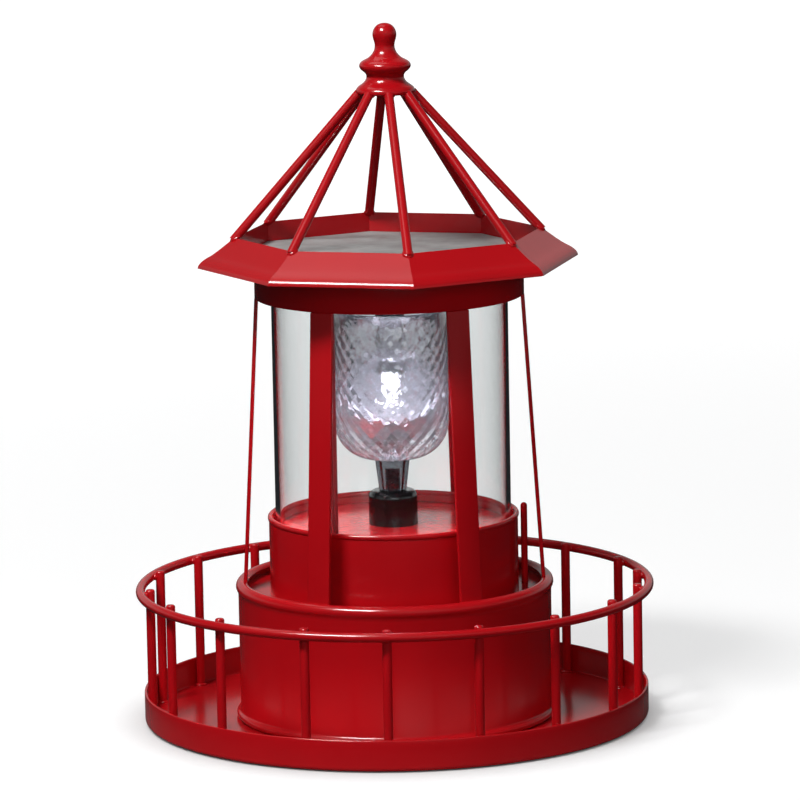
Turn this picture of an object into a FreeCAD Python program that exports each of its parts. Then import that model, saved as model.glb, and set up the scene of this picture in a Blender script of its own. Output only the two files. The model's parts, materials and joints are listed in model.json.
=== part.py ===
# Garden lighthouse ornament: a red sheet-metal lighthouse with a gallery rail,
# a clear lantern tube, a turning goblet beacon and a solar panel in the roof.
# Millimetres, +Z up, the front of the lighthouse towards -Y.
import FreeCAD, Part
import math
import os
import Sketcher
from FreeCAD import Rotation, Vector

os.makedirs("parts", exist_ok=True)
doc = FreeCAD.newDocument("garden_lighthouse")

# Driving dimensions: name, value, what it sets.
DRIVING = (
    ("gauge", 0.9, "thickness of the enamelled sheet steel"),
    ("wire_size", 3.0, "diameter of rail, baluster and roof wires"),
    ("weld_bite", 0.05, "how deep a welded wire sinks into its neighbour"),
    ("running_fit", 0.05, "radial play of a shaft in its bore"),
    ("free_gap", 0.3, "play between pieces that move past each other"),
    ("tray_radius", 82.5, "outer radius of the base tray"),
    ("tray_height", 10.5, "top of the tray lip above the ground"),
    ("tray_bend", 1.4, "outer bend radius of the tray lip"),
    ("tray_hole", 41.0, "radius of the opening under the lower drum"),
    ("foot_height", 0.4, "height of a rubber foot"),
    ("foot_size", 5.0, "radius of a rubber foot"),
    ("foot_circle", 72.0, "radius of the circle of feet"),
    ("foot_count", 4, "number of rubber feet"),
    ("rail_level", 43.6, "height of the rail wire's centre"),
    ("baluster_turn", -2.0, "azimuth of the front baluster"),
    ("baluster_overrun", 2.0, "baluster end above the rail's centre"),
    ("drum_step", 10.5, "lower drum's wall outside the upper one"),
    ("lower_height", 45.3, "height of the lower drum above the tray floor"),
    ("hem_height", 4.0, "height of the rolled hem round the lower drum"),
    ("hem_bulge", 2.4, "radius of the hem's round face"),
    ("foot_bead", 1.3, "reach of the lower drum's foot bead"),
    ("foot_bead_height", 2.8, "height of the foot bead"),
    ("deck_drop", 3.6, "deck below the top of the lower drum"),
    ("drum_clear", 2.2, "upper drum's wall outside the lantern tube"),
    ("upper_height", 24.9, "height of the upper drum above the deck"),
    ("rim_height", 1.8, "height of the upper drum's folded rim"),
    ("ledge_width", 2.6, "width of the ledge that carries the lamp plate"),
    ("plate_recess", 3.6, "lamp plate below the upper drum's rim"),
    ("plate_thick", 1.6, "thickness of the lamp plate"),
    ("tube_radius", 38.4, "outer radius of the clear lantern tube"),
    ("tube_wall", 1.5, "wall of the clear lantern tube"),
    ("post_count", 6, "number of window posts"),
    ("post_turn", 30.0, "azimuth of the first window post"),
    ("post_width", 8.0, "width of a window post"),
    ("post_thick", 1.2, "thickness of a window post"),
    ("post_foot_clear", 8.2, "post's foot outside the upper drum"),
    ("band_clear", 5.3, "ring band's outer face outside the lantern tube"),
    ("band_bottom", 96.6, "ring band's lower edge above the deck"),
    ("band_height", 10.7, "height of the ring band"),
    ("roof_sides", 8, "sides of the roof"),
    ("roof_turn", 7.1, "azimuth of the roof corner next to the front"),
    ("roof_opening", 46.2, "half width across flats at the roof's upper edge"),
    ("facet_reach", 6.2, "how far the steep facet reaches outwards"),
    ("facet_fall", 5.1, "how far the steep facet falls"),
    ("brim_reach", 3.1, "how far the flared brim reaches outwards"),
    ("brim_fall", 1.7, "how far the brim falls"),
    ("nose_reach", 1.6, "how far the brim's nose reaches outwards"),
    ("nose_fall", 1.6, "how far the nose falls"),
    ("lip_reach", 0.3, "how far the down-turned lip reaches outwards"),
    ("lip_fall", 1.2, "how far the down-turned lip falls"),
    ("cage_height", 45.1, "wire collar above the roof's upper edge"),
    ("collar_radius", 9.7, "radius of the wire collar"),
    ("collar_rim", 2.7, "height of the collar's straight rim"),
    ("collar_height", 6.7, "height of the wire collar"),
    ("collar_waist", 6.0, "radius at the top of the collar"),
    ("collar_bore", 2.0, "bore that takes the finial's tenon"),
    ("wire_end_radius", 7.0, "radius at which a roof wire ends in the collar"),
    ("wire_end_rise", 2.3, "height of that end above the collar's underside"),
    ("tenon_length", 4.0, "length of the finial's tenon"),
    ("finial_disc", 8.4, "radius of the finial's disc"),
    ("finial_disc_rise", 3.5, "disc's centre above the collar"),
    ("finial_disc_edge", 1.2, "radius of the disc's round edge"),
    ("finial_neck", 3.1, "radius of the finial's neck"),
    ("finial_neck_rise", 8.6, "neck above the collar"),
    ("finial_ball", 3.9, "radius of the finial's ball"),
    ("finial_height", 16.2, "height of the finial above the collar"),
    ("panel_rim", 1.6, "width of the housing's rim round the panel"),
    ("housing_floor", 0.8, "thickness of the housing's flange"),
    ("housing_depth", 6.6, "depth of the housing below the roof plate"),
    ("housing_wall", 3.3, "housing's wall outside the lantern tube"),
    ("groove_depth", 2.5, "depth of the groove that holds the tube"),
    ("cell_thick", 0.4, "thickness of the solar cells"),
    ("cell_margin", 2.4, "solar cells inside the panel cover"),
    ("cover_thick", 1.0, "thickness of the clear panel cover"),
    ("hub_radius", 4.05, "radius of the lamp hub"),
    ("hub_flange", 8.0, "radius of the hub's flange"),
    ("hub_flange_thick", 2.0, "thickness of the hub's flange"),
    ("hub_length", 13.7, "length of the lamp hub"),
    ("stem_overlap", 4.0, "how far the clear stem goes up over the hub"),
    ("stem_length", 22.0, "length of the clear lamp stem"),
    ("stem_wall", 0.65, "wall of the clear lamp stem"),
    ("led_board_thick", 1.0, "thickness of the round lamp board"),
    ("led_board_inset", 1.5, "lamp board inside the stem's lower end"),
    ("led_radius", 2.5, "radius of the lamp's lens"),
    ("led_flange", 2.9, "radius of the lamp's flange"),
    ("led_flange_thick", 1.0, "thickness of the lamp's flange"),
    ("led_length", 8.6, "length of the lamp"),
    ("cap_radius", 8.0, "radius of the bearing cap"),
    ("cap_height", 11.2, "height of the bearing cap"),
    ("cap_round", 2.2, "round of the cap's upper edge"),
    ("bush_radius", 3.0, "outer radius of a bush"),
    ("spindle_size", 1.5, "radius of the spindle"),
    ("spindle_into_stem", 7.0, "how far the spindle goes into the beacon stem"),
    ("beacon_stem_height", 10.2, "height of the beacon stem"),
    ("beacon_stem_foot", 4.5, "radius of the beacon stem at the bottom"),
    ("beacon_stem_head", 5.7, "radius of the beacon stem at the top"),
    ("goblet_radius", 18.7, "outer radius of the goblet"),
    ("goblet_height", 49.2, "height of the goblet"),
    ("goblet_round", 12.4, "round of the goblet's bottom"),
    ("goblet_wall", 1.2, "wall of the goblet"),
    ("globe_radius", 14.3, "outer radius of the reflector globe"),
    ("globe_centre", 22.4, "globe's centre above the goblet's bottom"),
    ("globe_wall", 1.0, "wall of the reflector globe"),
    ("globe_mouth", 8.5, "radius of the globe's mouth"),
    ("globe_foot", 3.0, "radius of the globe's foot"),
    ("gear_module", 0.8, "module of the gears"),
    ("gear_teeth", 30, "teeth of the spindle gear"),
    ("pinion_teeth", 10, "teeth of the motor pinion"),
    ("gear_face", 3.0, "width of the spindle gear"),
    ("gear_drop", 2.4, "spindle gear below the lamp plate"),
    ("pinion_face", 3.6, "width of the motor pinion"),
    ("tooth_play", 0.35, "play between gear teeth at the pitch line"),
    ("gear_plate_radius", 28.0, "radius of the gear plate"),
    ("gear_plate_thick", 1.5, "thickness of the gear plate"),
    ("pillar_height", 7.6, "length of the gear pillars"),
    ("pillar_size", 2.5, "radius of a gear pillar"),
    ("pillar_circle", 24.0, "radius of the circle of pillars"),
    ("pillar_count", 3, "number of gear pillars"),
    ("motor_radius", 7.8, "radius of the motor"),
    ("motor_length", 20.0, "length of the motor"),
    ("motor_shaft_size", 1.0, "radius of the motor shaft"),
    ("motor_shaft_depth", 12.0, "length of the shaft inside the motor"),
    ("terminal_spread", 3.0, "motor terminals either side of the axis"),
    ("terminal_size", 1.0, "width of a motor terminal"),
    ("lead_size", 0.65, "radius of a panel lead"),
    ("lead_clear", 3.5, "panel leads inside the lantern tube's bore"),
    ("lead_turn", -34.0, "azimuth of the panel leads"),
    ("grommet_radius", 3.0, "radius of the lead grommet"),
    ("grommet_lip", 0.8, "height of the grommet's lip"),
    ("cover_play", 0.3, "gap round the bottom cover"),
    ("cover_clear", 0.4, "bottom cover above the ground"),
    ("cover_boss", 34.0, "radius of the cover's thick middle"),
    ("cover_boss_thick", 3.0, "thickness of the cover's middle"),
    ("seat_width", 5.0, "width of the seat ring outside the tray's opening"),
    ("seat_thick", 1.2, "thickness of the seat ring"),
    ("screw_circle", 37.6, "radius of the circle of cover screws"),
    ("screw_count", 4, "number of cover screws"),
    ("screw_size", 1.25, "radius of a cover screw"),
    ("screw_head", 2.3, "radius of a cover screw's head"),
    ("screw_head_thick", 0.8, "height of a cover screw's head"),
    ("screw_length", 6.0, "length of a cover screw"),
    ("door_gap", 0.3, "gap round the battery door"),
    ("hinge_size", 0.8, "radius of the battery door's hinge pins"),
    ("hinge_pin", 2.0, "length of a hinge pin"),
    ("holder_wall", 1.8, "wall of the battery holder"),
    ("holder_height", 16.8, "height of the battery holder"),
    ("cell_radius", 7.1, "radius of the battery"),
    ("cell_length", 49.2, "length of the battery's can"),
    ("cell_button", 2.7, "radius of the battery's button"),
    ("cell_button_length", 1.0, "length of the battery's button"),
    ("contact_thick", 0.6, "thickness of a battery contact"),
    ("spring_length", 1.0, "length of the contact spring, pressed"),
    ("cell_play", 0.2, "play at the battery's end"),
    ("cell_side_play", 0.7, "play either side of the battery"),
    ("board_length", 48.0, "length of the circuit board"),
    ("board_width", 55.0, "width of the circuit board"),
    ("board_shift", -7.5, "centre of the circuit board towards the back"),
    ("board_thick", 1.6, "thickness of the circuit board"),
    ("board_pillar", 2.0, "radius of a board pillar"),
    ("board_pillar_spread", 20.0, "board pillars either side of the middle"),
    ("board_pillar_row", 6.0, "board pillars in front of and behind the middle"),
    ("chip_length", 12.0, "length of the charging chip"),
    ("chip_width", 8.0, "width of the charging chip"),
    ("chip_height", 1.8, "height of the charging chip"),
    ("coil_radius", 4.0, "radius of the charging coil"),
    ("coil_height", 5.0, "height of the charging coil"),
    ("part_spread", 10.0, "chip and coil either side of the middle"),
    ("part_row", 14.0, "chip and coil behind the middle"),
    ("switch_clear", 2.4, "switch rod outside the upper drum"),
    ("switch_turn", 97.0, "azimuth of the switch rod"),
    ("switch_rod_size", 1.1, "radius of the switch rod"),
    ("switch_rod_reach", 26.3, "switch rod above the deck"),
    ("switch_body_width", 8.0, "width of the switch"),
    ("switch_body_height", 10.0, "height of the switch"),
    ("switch_travel", 2.5, "travel of the switch rod"),
    ("switch_rod_depth", 6.0, "length of the rod inside the switch"),
)

sheet = doc.addObject("Spreadsheet::Sheet", "Dim")
for row, (name, number, note) in enumerate(DRIVING, start=1):
    sheet.set("A%d" % row, name)
    sheet.set("B%d" % row, str(number))
    sheet.set("C%d" % row, note)
    sheet.setAlias("B%d" % row, name)
doc.recompute()


class Size:
    # A length together with the spreadsheet expression that gives it.
    def __init__(self, number, text):
        self.number = number
        self.text = text

    def join(self, other, sign, number):
        return Size(number, "(%s %s %s)" % (self.text, sign, as_size(other).text))

    def __add__(self, other):
        return self.join(other, "+", self.number + as_size(other).number)

    def __sub__(self, other):
        return self.join(other, "-", self.number - as_size(other).number)

    def __mul__(self, other):
        return self.join(other, "*", self.number * as_size(other).number)

    def __truediv__(self, other):
        return self.join(other, "/", self.number / as_size(other).number)

    def __neg__(self):
        return Size(-self.number, "(-%s)" % self.text)

    def root(self):
        return Size(math.sqrt(self.number), "sqrt(%s)" % self.text)


def as_size(value):
    return value if isinstance(value, Size) else Size(value, "(%.9f)" % value)


class Dimensions:
    def __getattr__(self, name):
        return Size(float(NUMBERS[name]), "Dim." + name)


NUMBERS = {name: number for name, number, note in DRIVING}
dim = Dimensions()
ZERO = as_size(0.0)
pieces = []


def bind(target, field, size):
    size = as_size(size)
    target.setExpression(field, size.text)


def keep(piece, label):
    piece.Label = label
    pieces.append(piece)
    return piece


def place(piece, x=0.0, y=0.0, z=0.0, axis=Vector(0, 0, 1), angle=0.0):
    # Seats a piece: its turn is fixed and its place follows the sheet.
    x, y, z = as_size(x), as_size(y), as_size(z)
    piece.Placement = FreeCAD.Placement(
        Vector(x.number, y.number, z.number), Rotation(axis, angle))
    for field, size in (("x", x), ("y", y), ("z", z)):
        bind(piece, "Placement.Base." + field, size)
    return piece


def around(radius, azimuth):
    # Point at an azimuth from the front, turning towards +X.
    turn = math.radians(azimuth)
    return radius * math.sin(turn), radius * -math.cos(turn)


def primitive(kind, name, **sizes):
    piece = doc.addObject("Part::" + kind, name)
    for field, size in sizes.items():
        if field == "Polygon":
            piece.Polygon = int(size)
        else:
            setattr(piece, field, as_size(size).number)
            bind(piece, field, size)
    return piece


def cylinder(name, radius, height, x=0.0, y=0.0, z=0.0):
    return place(primitive("Cylinder", name, Radius=radius, Height=height), x, y, z)


def block(name, length, width, height, x=0.0, y=0.0, z=0.0):
    # A box centred on x and y.
    return place(primitive("Box", name, Length=length, Width=width, Height=height),
                 as_size(x) - length / 2.0, as_size(y) - width / 2.0, z)


def cut(name, base, tools):
    # Takes the tools away from the base, one after another.
    for number, tool in enumerate(tools):
        result = doc.addObject("Part::Cut", "%s_cut%d" % (name, number))
        result.Base = base
        result.Tool = tool
        base = result
    return base


def fuse(name, shapes):
    result = doc.addObject("Part::MultiFuse", name + "_join")
    result.Shapes = shapes
    return result


def group(label, shapes):
    result = doc.addObject("Part::Compound", label)
    result.Links = shapes
    return keep(result, label)


def outline(body, name, points, plane="XZ_Plane"):
    # Closed sketch through the points. A third entry rounds the stretch that
    # leads to its point: an arc's radius, negative where it bends inwards.
    sketch = body.newObject("Sketcher::SketchObject", name)
    origin = [part for part in body.Origin.OriginFeatures if part.Role == plane][0]
    sketch.AttachmentSupport = [(origin, "")]
    sketch.MapMode = "FlatFace"
    count = len(points)
    spots = [Vector(as_size(p[0]).number, as_size(p[1]).number, 0) for p in points]
    for index in range(count):
        start, end = spots[index], spots[(index + 1) % count]
        bend = points[(index + 1) % count][2:]
        if not bend:
            sketch.addGeometry(Part.LineSegment(start, end), False)
            continue
        radius = as_size(bend[0]).number
        chord = end - start
        side = Vector(chord.y, -chord.x, 0).normalize() * (1 if radius > 0 else -1)
        rise = abs(radius) - math.sqrt(max(radius ** 2 - (chord.Length / 2) ** 2, 0))
        middle = (start + end) * 0.5 + side * rise
        ends = (start, middle, end) if radius > 0 else (end, middle, start)
        sketch.addGeometry(Part.Arc(*ends), False)
    is_arc = [len(points[(index + 1) % count]) > 2 for index in range(count)]
    turned = [is_arc[i] and as_size(points[(i + 1) % count][2]).number < 0
              for i in range(count)]
    for index in range(count):
        after = (index + 1) % count
        sketch.addConstraint(Sketcher.Constraint(
            "Coincident", index, 1 if turned[index] else 2,
            after, 2 if turned[after] else 1))
        vertex = 2 if turned[index] else 1
        across, up = as_size(points[index][0]), as_size(points[index][1])
        for kind, size in (("DistanceX", across), ("DistanceY", up)):
            if size is ZERO or size.number == 0:
                line = -2 if kind == "DistanceX" else -1
                sketch.addConstraint(Sketcher.Constraint(
                    "PointOnObject", index, vertex, line))
                continue
            place_in_list = sketch.addConstraint(Sketcher.Constraint(
                kind, -1, 1, index, vertex, size.number))
            sketch.setExpression("Constraints[%d]" % place_in_list, size.text)
        if is_arc[index]:
            size = as_size(points[after][2])
            if size.number < 0:
                size = -size
            place_in_list = sketch.addConstraint(Sketcher.Constraint(
                "Radius", index, size.number))
            sketch.setExpression("Constraints[%d]" % place_in_list, size.text)
    return sketch


def revolved(label, points):
    # A turned or spun piece: its half section, spun round Z.
    body = doc.addObject("PartDesign::Body", label)
    sketch = outline(body, label + "_section", points)
    turn = body.newObject("PartDesign::Revolution", label + "_spin")
    turn.Profile = sketch
    turn.ReferenceAxis = (sketch, ["V_Axis"])
    turn.Angle = 360.0
    body.Tip = turn
    return keep(body, label)


def extruded(label, points, height, plane="XY_Plane", midplane=False):
    body = doc.addObject("PartDesign::Body", label)
    sketch = outline(body, label + "_outline", points, plane)
    pad = body.newObject("PartDesign::Pad", label + "_pad")
    pad.Profile = sketch
    pad.Midplane = midplane
    pad.Length = as_size(height).number
    bind(pad, "Length", height)
    body.Tip = pad
    return keep(body, label)


# Levels and radii that several pieces share.
tray_bottom = dim.foot_height
tray_floor = tray_bottom + dim.gauge
tube_bore = dim.tube_radius - dim.tube_wall
upper_radius = dim.tube_radius + dim.drum_clear
lower_radius = upper_radius + dim.drum_step
post_foot_radius = upper_radius + dim.post_foot_clear
switch_radius = upper_radius + dim.switch_clear
band_radius = dim.tube_radius + dim.band_clear
housing_radius = dim.tube_radius + dim.housing_wall
roof_plate_hole = housing_radius + dim.free_gap
lead_radius = tube_bore - dim.lead_clear
lower_top = tray_floor + dim.lower_height
deck_top = lower_top - dim.deck_drop
lower_bore = lower_radius - dim.gauge
upper_top = deck_top + dim.upper_height
upper_bore = upper_radius - dim.gauge
plate_top = upper_top - dim.plate_recess
plate_bottom = plate_top - dim.plate_thick
band_level = deck_top + dim.band_bottom
band_top = band_level + dim.band_height
roof_plate_top = band_top + dim.gauge
lip_edge = (dim.roof_opening + dim.facet_reach + dim.brim_reach + dim.nose_reach
            + dim.lip_reach)
roof_level = band_top + dim.facet_fall + dim.brim_fall + dim.nose_fall + dim.lip_fall
collar_level = roof_level + dim.cage_height
# The facet's slope sets how far the skirt's inner face lies under its outer one.
skirt_drop = dim.gauge * (dim.facet_reach * dim.facet_reach
                          + dim.facet_fall * dim.facet_fall).root() / dim.facet_reach
roof_plate_edge = lip_edge - dim.lip_reach - dim.gauge
panel_top = roof_plate_top + dim.housing_floor + dim.cell_thick + dim.cover_thick
panel_edge = (dim.roof_opening - dim.free_gap
              + (roof_level - skirt_drop - panel_top) * dim.facet_reach / dim.facet_fall)
baluster_circle = dim.tray_radius - dim.gauge - dim.wire_size / 2.0
corner = 1.0 / math.cos(math.pi / NUMBERS["roof_sides"])
housing_bottom = roof_plate_top - dim.housing_depth
cap_top = plate_top + dim.cap_height
beacon_foot = cap_top + dim.free_gap
goblet_bottom = beacon_foot + dim.beacon_stem_height
gear_top = plate_bottom - dim.gear_drop
gear_plate_top = plate_bottom - dim.pillar_height
gear_plate_bottom = gear_plate_top - dim.gear_plate_thick
shaft_spacing = dim.gear_module * (dim.gear_teeth + dim.pinion_teeth) / 2.0
# The battery sets the room in the holder, and that sets the door.
room_length = (dim.cell_length + dim.cell_button_length + dim.spring_length
               + dim.contact_thick * 2 + dim.cell_play)
room_width = (dim.cell_radius + dim.cell_side_play) * 2
door_length = room_length - dim.door_gap * 2
door_width = room_width - dim.door_gap * 2
cover_edge = dim.tray_hole - dim.cover_play
cover_bottom = dim.cover_clear
cover_top = cover_bottom + dim.cover_boss_thick
holder_top = cover_top + dim.holder_height
motor_bottom = gear_plate_bottom - dim.motor_length
board_top = motor_bottom - 2.0
board_bottom = board_top - dim.board_thick


def base_tray():
    bend, inner_bend = dim.tray_bend, dim.tray_bend - dim.gauge
    wall = dim.tray_radius - dim.gauge
    revolved("base_tray", (
        (dim.tray_hole, tray_bottom),
        (dim.tray_radius - bend, tray_bottom),
        (dim.tray_radius, tray_bottom + bend, bend),
        (dim.tray_radius, dim.tray_height),
        (wall, dim.tray_height),
        (wall, tray_floor + inner_bend),
        (wall - inner_bend, tray_floor, -inner_bend),
        (dim.tray_hole, tray_floor),
    ))


def rubber_feet():
    count = NUMBERS["foot_count"]
    group("rubber_feet", [
        cylinder("foot_%d" % n, dim.foot_size, dim.foot_height,
                 *around(dim.foot_circle, 360.0 * (n + 0.5) / count))
        for n in range(count)])


# Degrees from the front baluster. They were welded by hand and stand 16 to 23 apart.
BALUSTER_STEPS = (0, 21, 41, 62, 81, 98, 114, 136, 157, 177, 198, 218, 237, 257, 279, 298,
                  318, 341)


def gallery():
    height = dim.rail_level + dim.baluster_overrun - tray_floor
    group("gallery_balusters", [
        cylinder("baluster_%d" % n, dim.wire_size / 2.0, height,
                 *around(baluster_circle, NUMBERS["baluster_turn"] + step), z=tray_floor)
        for n, step in enumerate(BALUSTER_STEPS)])
    rail = primitive("Torus", "gallery_rail", Radius2=dim.wire_size / 2.0,
                     Radius1=baluster_circle + dim.wire_size - dim.weld_bite)
    keep(place(rail, z=dim.rail_level), "gallery_rail")


def lower_drum():
    top_edge = lower_top - 0.4
    wall = lower_radius
    revolved("lower_drum", (
        (lower_bore, tray_floor),
        (wall + dim.foot_bead, tray_floor),
        (wall, tray_floor + dim.foot_bead_height, dim.hem_bulge),
        (wall, top_edge - dim.hem_height),
        (wall, top_edge, dim.hem_bulge),
        (wall - dim.gauge / 2.0, lower_top),
        (lower_bore, top_edge),
    ))


def drum_deck():
    disc = cylinder("deck_disc", lower_bore, dim.gauge, z=deck_top - dim.gauge)
    middle = cylinder("deck_hole", upper_bore - 1.2, dim.gauge * 3, z=deck_top - dim.gauge * 2)
    rod = cylinder("deck_rod_hole", dim.switch_rod_size + dim.free_gap, dim.gauge * 3,
                   *around(switch_radius, NUMBERS["switch_turn"]),
                   z=deck_top - dim.gauge * 2)
    keep(cut("deck", disc, (middle, rod)), "drum_deck")


def upper_drum():
    wall, bore = upper_radius, upper_bore
    ledge = bore - dim.ledge_width
    revolved("upper_drum", (
        (bore, deck_top),
        (wall, deck_top),
        (wall, upper_top - dim.rim_height),
        (wall + 0.35, upper_top - dim.rim_height / 2.0, dim.rim_height),
        (wall - dim.gauge / 2.0, upper_top, dim.rim_height),
        (bore, upper_top - dim.gauge / 2.0),
        (bore, plate_bottom),
        (ledge, plate_bottom),
        (ledge, plate_bottom - dim.gauge),
        (bore, plate_bottom - dim.gauge),
    ))


def lamp_plate():
    disc = cylinder("plate_disc", upper_bore, dim.plate_thick, z=plate_bottom)
    tall, low = dim.plate_thick * 3, plate_bottom - dim.plate_thick
    spindle_hole = cylinder("plate_spindle_hole", dim.bush_radius, tall, z=low)
    lead_hole = cylinder("plate_lead_hole", dim.grommet_radius - 0.6, tall,
                         *around(lead_radius, NUMBERS["lead_turn"]), z=low)
    keep(cut("plate", disc, (spindle_hole, lead_hole)), "lamp_plate")


def window_posts():
    count = NUMBERS["post_count"]
    top = band_radius - dim.post_thick
    foot = post_foot_radius - dim.post_thick / 2.0
    for n in range(count):
        azimuth = NUMBERS["post_turn"] + 360.0 * n / count
        post = extruded("window_post_%d" % (n + 1), (
            (foot, deck_top), (foot + dim.post_thick, deck_top),
            (top + dim.post_thick, band_level), (top, band_level)),
            dim.post_width, plane="XZ_Plane", midplane=True)
        place(post, angle=azimuth - 90.0)


def roof_ring_band():
    revolved("roof_ring_band", (
        (band_radius - dim.post_thick, band_level), (band_radius, band_level),
        (band_radius, band_top), (band_radius - dim.gauge, band_top),
        (band_radius - dim.gauge, band_level + dim.gauge),
        (band_radius - dim.post_thick, band_level + dim.gauge)))


def octagon_prism(name, flats, height, level):
    prism = primitive("Prism", name, Polygon=NUMBERS["roof_sides"],
                      Circumradius=flats * corner, Height=height)
    return place(prism, z=level, angle=NUMBERS["roof_turn"] - 90.0)


def roof_plate():
    sheet_metal = octagon_prism("roof_plate_sheet", roof_plate_edge, dim.gauge, band_top)
    hole = cylinder("roof_plate_opening", roof_plate_hole, dim.gauge * 3,
                    z=band_top - dim.gauge)
    keep(cut("roof_plate", sheet_metal, (hole,)), "roof_plate")


def octagon_loft(name, rings):
    sections = []
    for number, (flats, level) in enumerate(rings):
        ring = primitive("RegularPolygon", "%s_ring%d" % (name, number),
                         Polygon=NUMBERS["roof_sides"], Circumradius=flats * corner)
        sections.append(place(ring, z=level, angle=NUMBERS["roof_turn"] - 90.0))
    loft = doc.addObject("Part::Loft", name)
    loft.Sections = sections
    loft.Solid = True
    loft.Ruled = True
    return loft


def roof_rings():
    # Half widths across flats and levels down the outside of the skirt.
    rings = [(dim.roof_opening, roof_level)]
    for reach, fall in ((dim.facet_reach, dim.facet_fall), (dim.brim_reach, dim.brim_fall),
                        (dim.nose_reach, dim.nose_fall), (dim.lip_reach, dim.lip_fall)):
        flats, level = rings[-1]
        rings.append((flats + reach, level - fall))
    return rings


def roof_skirt():
    outside, drop = roof_rings(), skirt_drop
    inside = [(flats, level - drop) for flats, level in outside[:3]]
    rise = dim.facet_reach / dim.facet_fall
    inside.insert(0, (dim.roof_opening - (drop + 1.0) * rise, roof_level + 1.0))
    inside += [(roof_plate_edge, roof_plate_top), (roof_plate_edge, band_top - dim.gauge)]
    outer = octagon_loft("skirt_outer", outside)
    inner = octagon_loft("skirt_inner", inside)
    keep(cut("skirt", outer, (inner,)), "roof_skirt")


def wire_collar_and_finial():
    revolved("wire_collar", (
        (dim.collar_bore, collar_level),
        (dim.collar_radius - 0.6, collar_level),
        (dim.collar_radius, collar_level + 0.6),
        (dim.collar_radius, collar_level + dim.collar_rim),
        (dim.collar_waist, collar_level + dim.collar_height),
        (dim.collar_bore, collar_level + dim.collar_height)))
    foot = collar_level + dim.collar_height
    disc, edge = foot + dim.finial_disc_rise, dim.finial_disc_edge
    neck = foot + dim.finial_neck_rise
    ball = foot + dim.finial_height - dim.finial_ball
    meet = (dim.finial_ball * dim.finial_ball - dim.finial_neck * dim.finial_neck).root()
    revolved("finial", (
        (0.0, foot - dim.tenon_length), (dim.collar_bore, foot - dim.tenon_length),
        (dim.collar_bore, foot), (dim.collar_waist, foot),
        (dim.finial_disc - edge, disc - edge),
        (dim.finial_disc, disc, edge),
        (dim.finial_disc - edge, disc + edge, edge),
        (dim.finial_neck, neck), (dim.finial_neck, ball - meet),
        (dim.finial_ball, ball, dim.finial_ball),
        (0.0, ball + dim.finial_ball, dim.finial_ball)))


def roof_wires(collar):
    count = NUMBERS["roof_sides"]
    foot_radius = (dim.roof_opening - dim.gauge / 2.0) * corner
    end_level = collar_level + dim.wire_end_rise
    reach, rise = foot_radius - dim.wire_end_radius, end_level - roof_level
    overrun = 4.0
    lean = math.degrees(math.atan2(reach.number, rise.number))
    length = (reach * reach + rise * rise).root() + overrun
    wires = []
    for n in range(count):
        azimuth = NUMBERS["roof_turn"] + 360.0 * n / count
        outward = Rotation(Vector(0, 0, 1), azimuth - 90.0)
        start_radius = foot_radius + reach * (overrun / (length.number - overrun))
        start_level = roof_level - rise * (overrun / (length.number - overrun))
        rod = cylinder("wire_rod_%d" % n, dim.wire_size / 2.0, length,
                       *around(start_radius, azimuth), z=start_level)
        rod.Placement.Rotation = outward.multiply(Rotation(Vector(0, 1, 0), -lean))
        below = cylinder("wire_below_%d" % n, foot_radius * 2, dim.facet_fall * 4,
                         z=roof_level - dim.facet_fall * 4)
        wires.append(cut("wire_%d" % n, rod, (below, collar)))
    group("roof_wires", wires)


def panel():
    drum = cylinder("housing_drum", housing_radius, dim.housing_depth, z=housing_bottom)
    flange = octagon_prism("housing_flange", panel_edge,
                           panel_top - roof_plate_top, roof_plate_top)
    window = panel_edge - dim.panel_rim
    seat = roof_plate_top + dim.housing_floor
    groove_ring = cut("housing_groove", cylinder(
        "groove_outer", dim.tube_radius + 0.1, dim.groove_depth, z=housing_bottom), (cylinder(
            "groove_inner", tube_bore - 0.1, dim.groove_depth, z=housing_bottom),))
    tray = octagon_prism("housing_recess", window,
                         dim.cell_thick + dim.cover_thick + 1.0, seat)
    keep(cut("housing", fuse("housing", [drum, flange]), (groove_ring, tray)), "panel_housing")
    cells = octagon_prism("solar_cells", window - dim.cell_margin, dim.cell_thick, seat)
    keep(cells, "solar_cells")
    cover = octagon_prism("cover_plate", window, dim.cover_thick + dim.cell_thick, seat)
    pocket = octagon_prism("cover_pocket", window - dim.cell_margin, dim.cell_thick, seat)
    keep(cut("panel_cover", cover, (pocket,)), "panel_cover")


def clear_tube():
    top = housing_bottom + dim.groove_depth
    revolved("clear_tube", (
        (tube_bore, plate_top), (dim.tube_radius, plate_top),
        (dim.tube_radius, top), (tube_bore, top)))


def lamp():
    hub_foot = housing_bottom - dim.hub_length
    under_flange = housing_bottom - dim.hub_flange_thick
    revolved("lamp_hub", (
        (0.0, hub_foot), (dim.hub_radius, hub_foot), (dim.hub_radius, under_flange),
        (dim.hub_flange, under_flange), (dim.hub_flange, housing_bottom),
        (0.0, housing_bottom)))
    stem_top = hub_foot + dim.stem_overlap
    stem_foot = stem_top - dim.stem_length
    outer = dim.hub_radius + dim.stem_wall
    revolved("lamp_stem", (
        (dim.hub_radius, stem_foot), (outer, stem_foot), (outer, stem_top),
        (dim.hub_radius, stem_top)))
    board = stem_foot + dim.led_board_inset
    keep(cylinder("lamp_board", dim.hub_radius, dim.led_board_thick, z=board), "lamp_board")
    flange = board - dim.led_flange_thick
    revolved("led", (
        (0.0, board - dim.led_length),
        (dim.led_radius, board - dim.led_length + dim.led_radius, dim.led_radius),
        (dim.led_radius, flange), (dim.led_flange, flange), (dim.led_flange, board),
        (0.0, board)))


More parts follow.
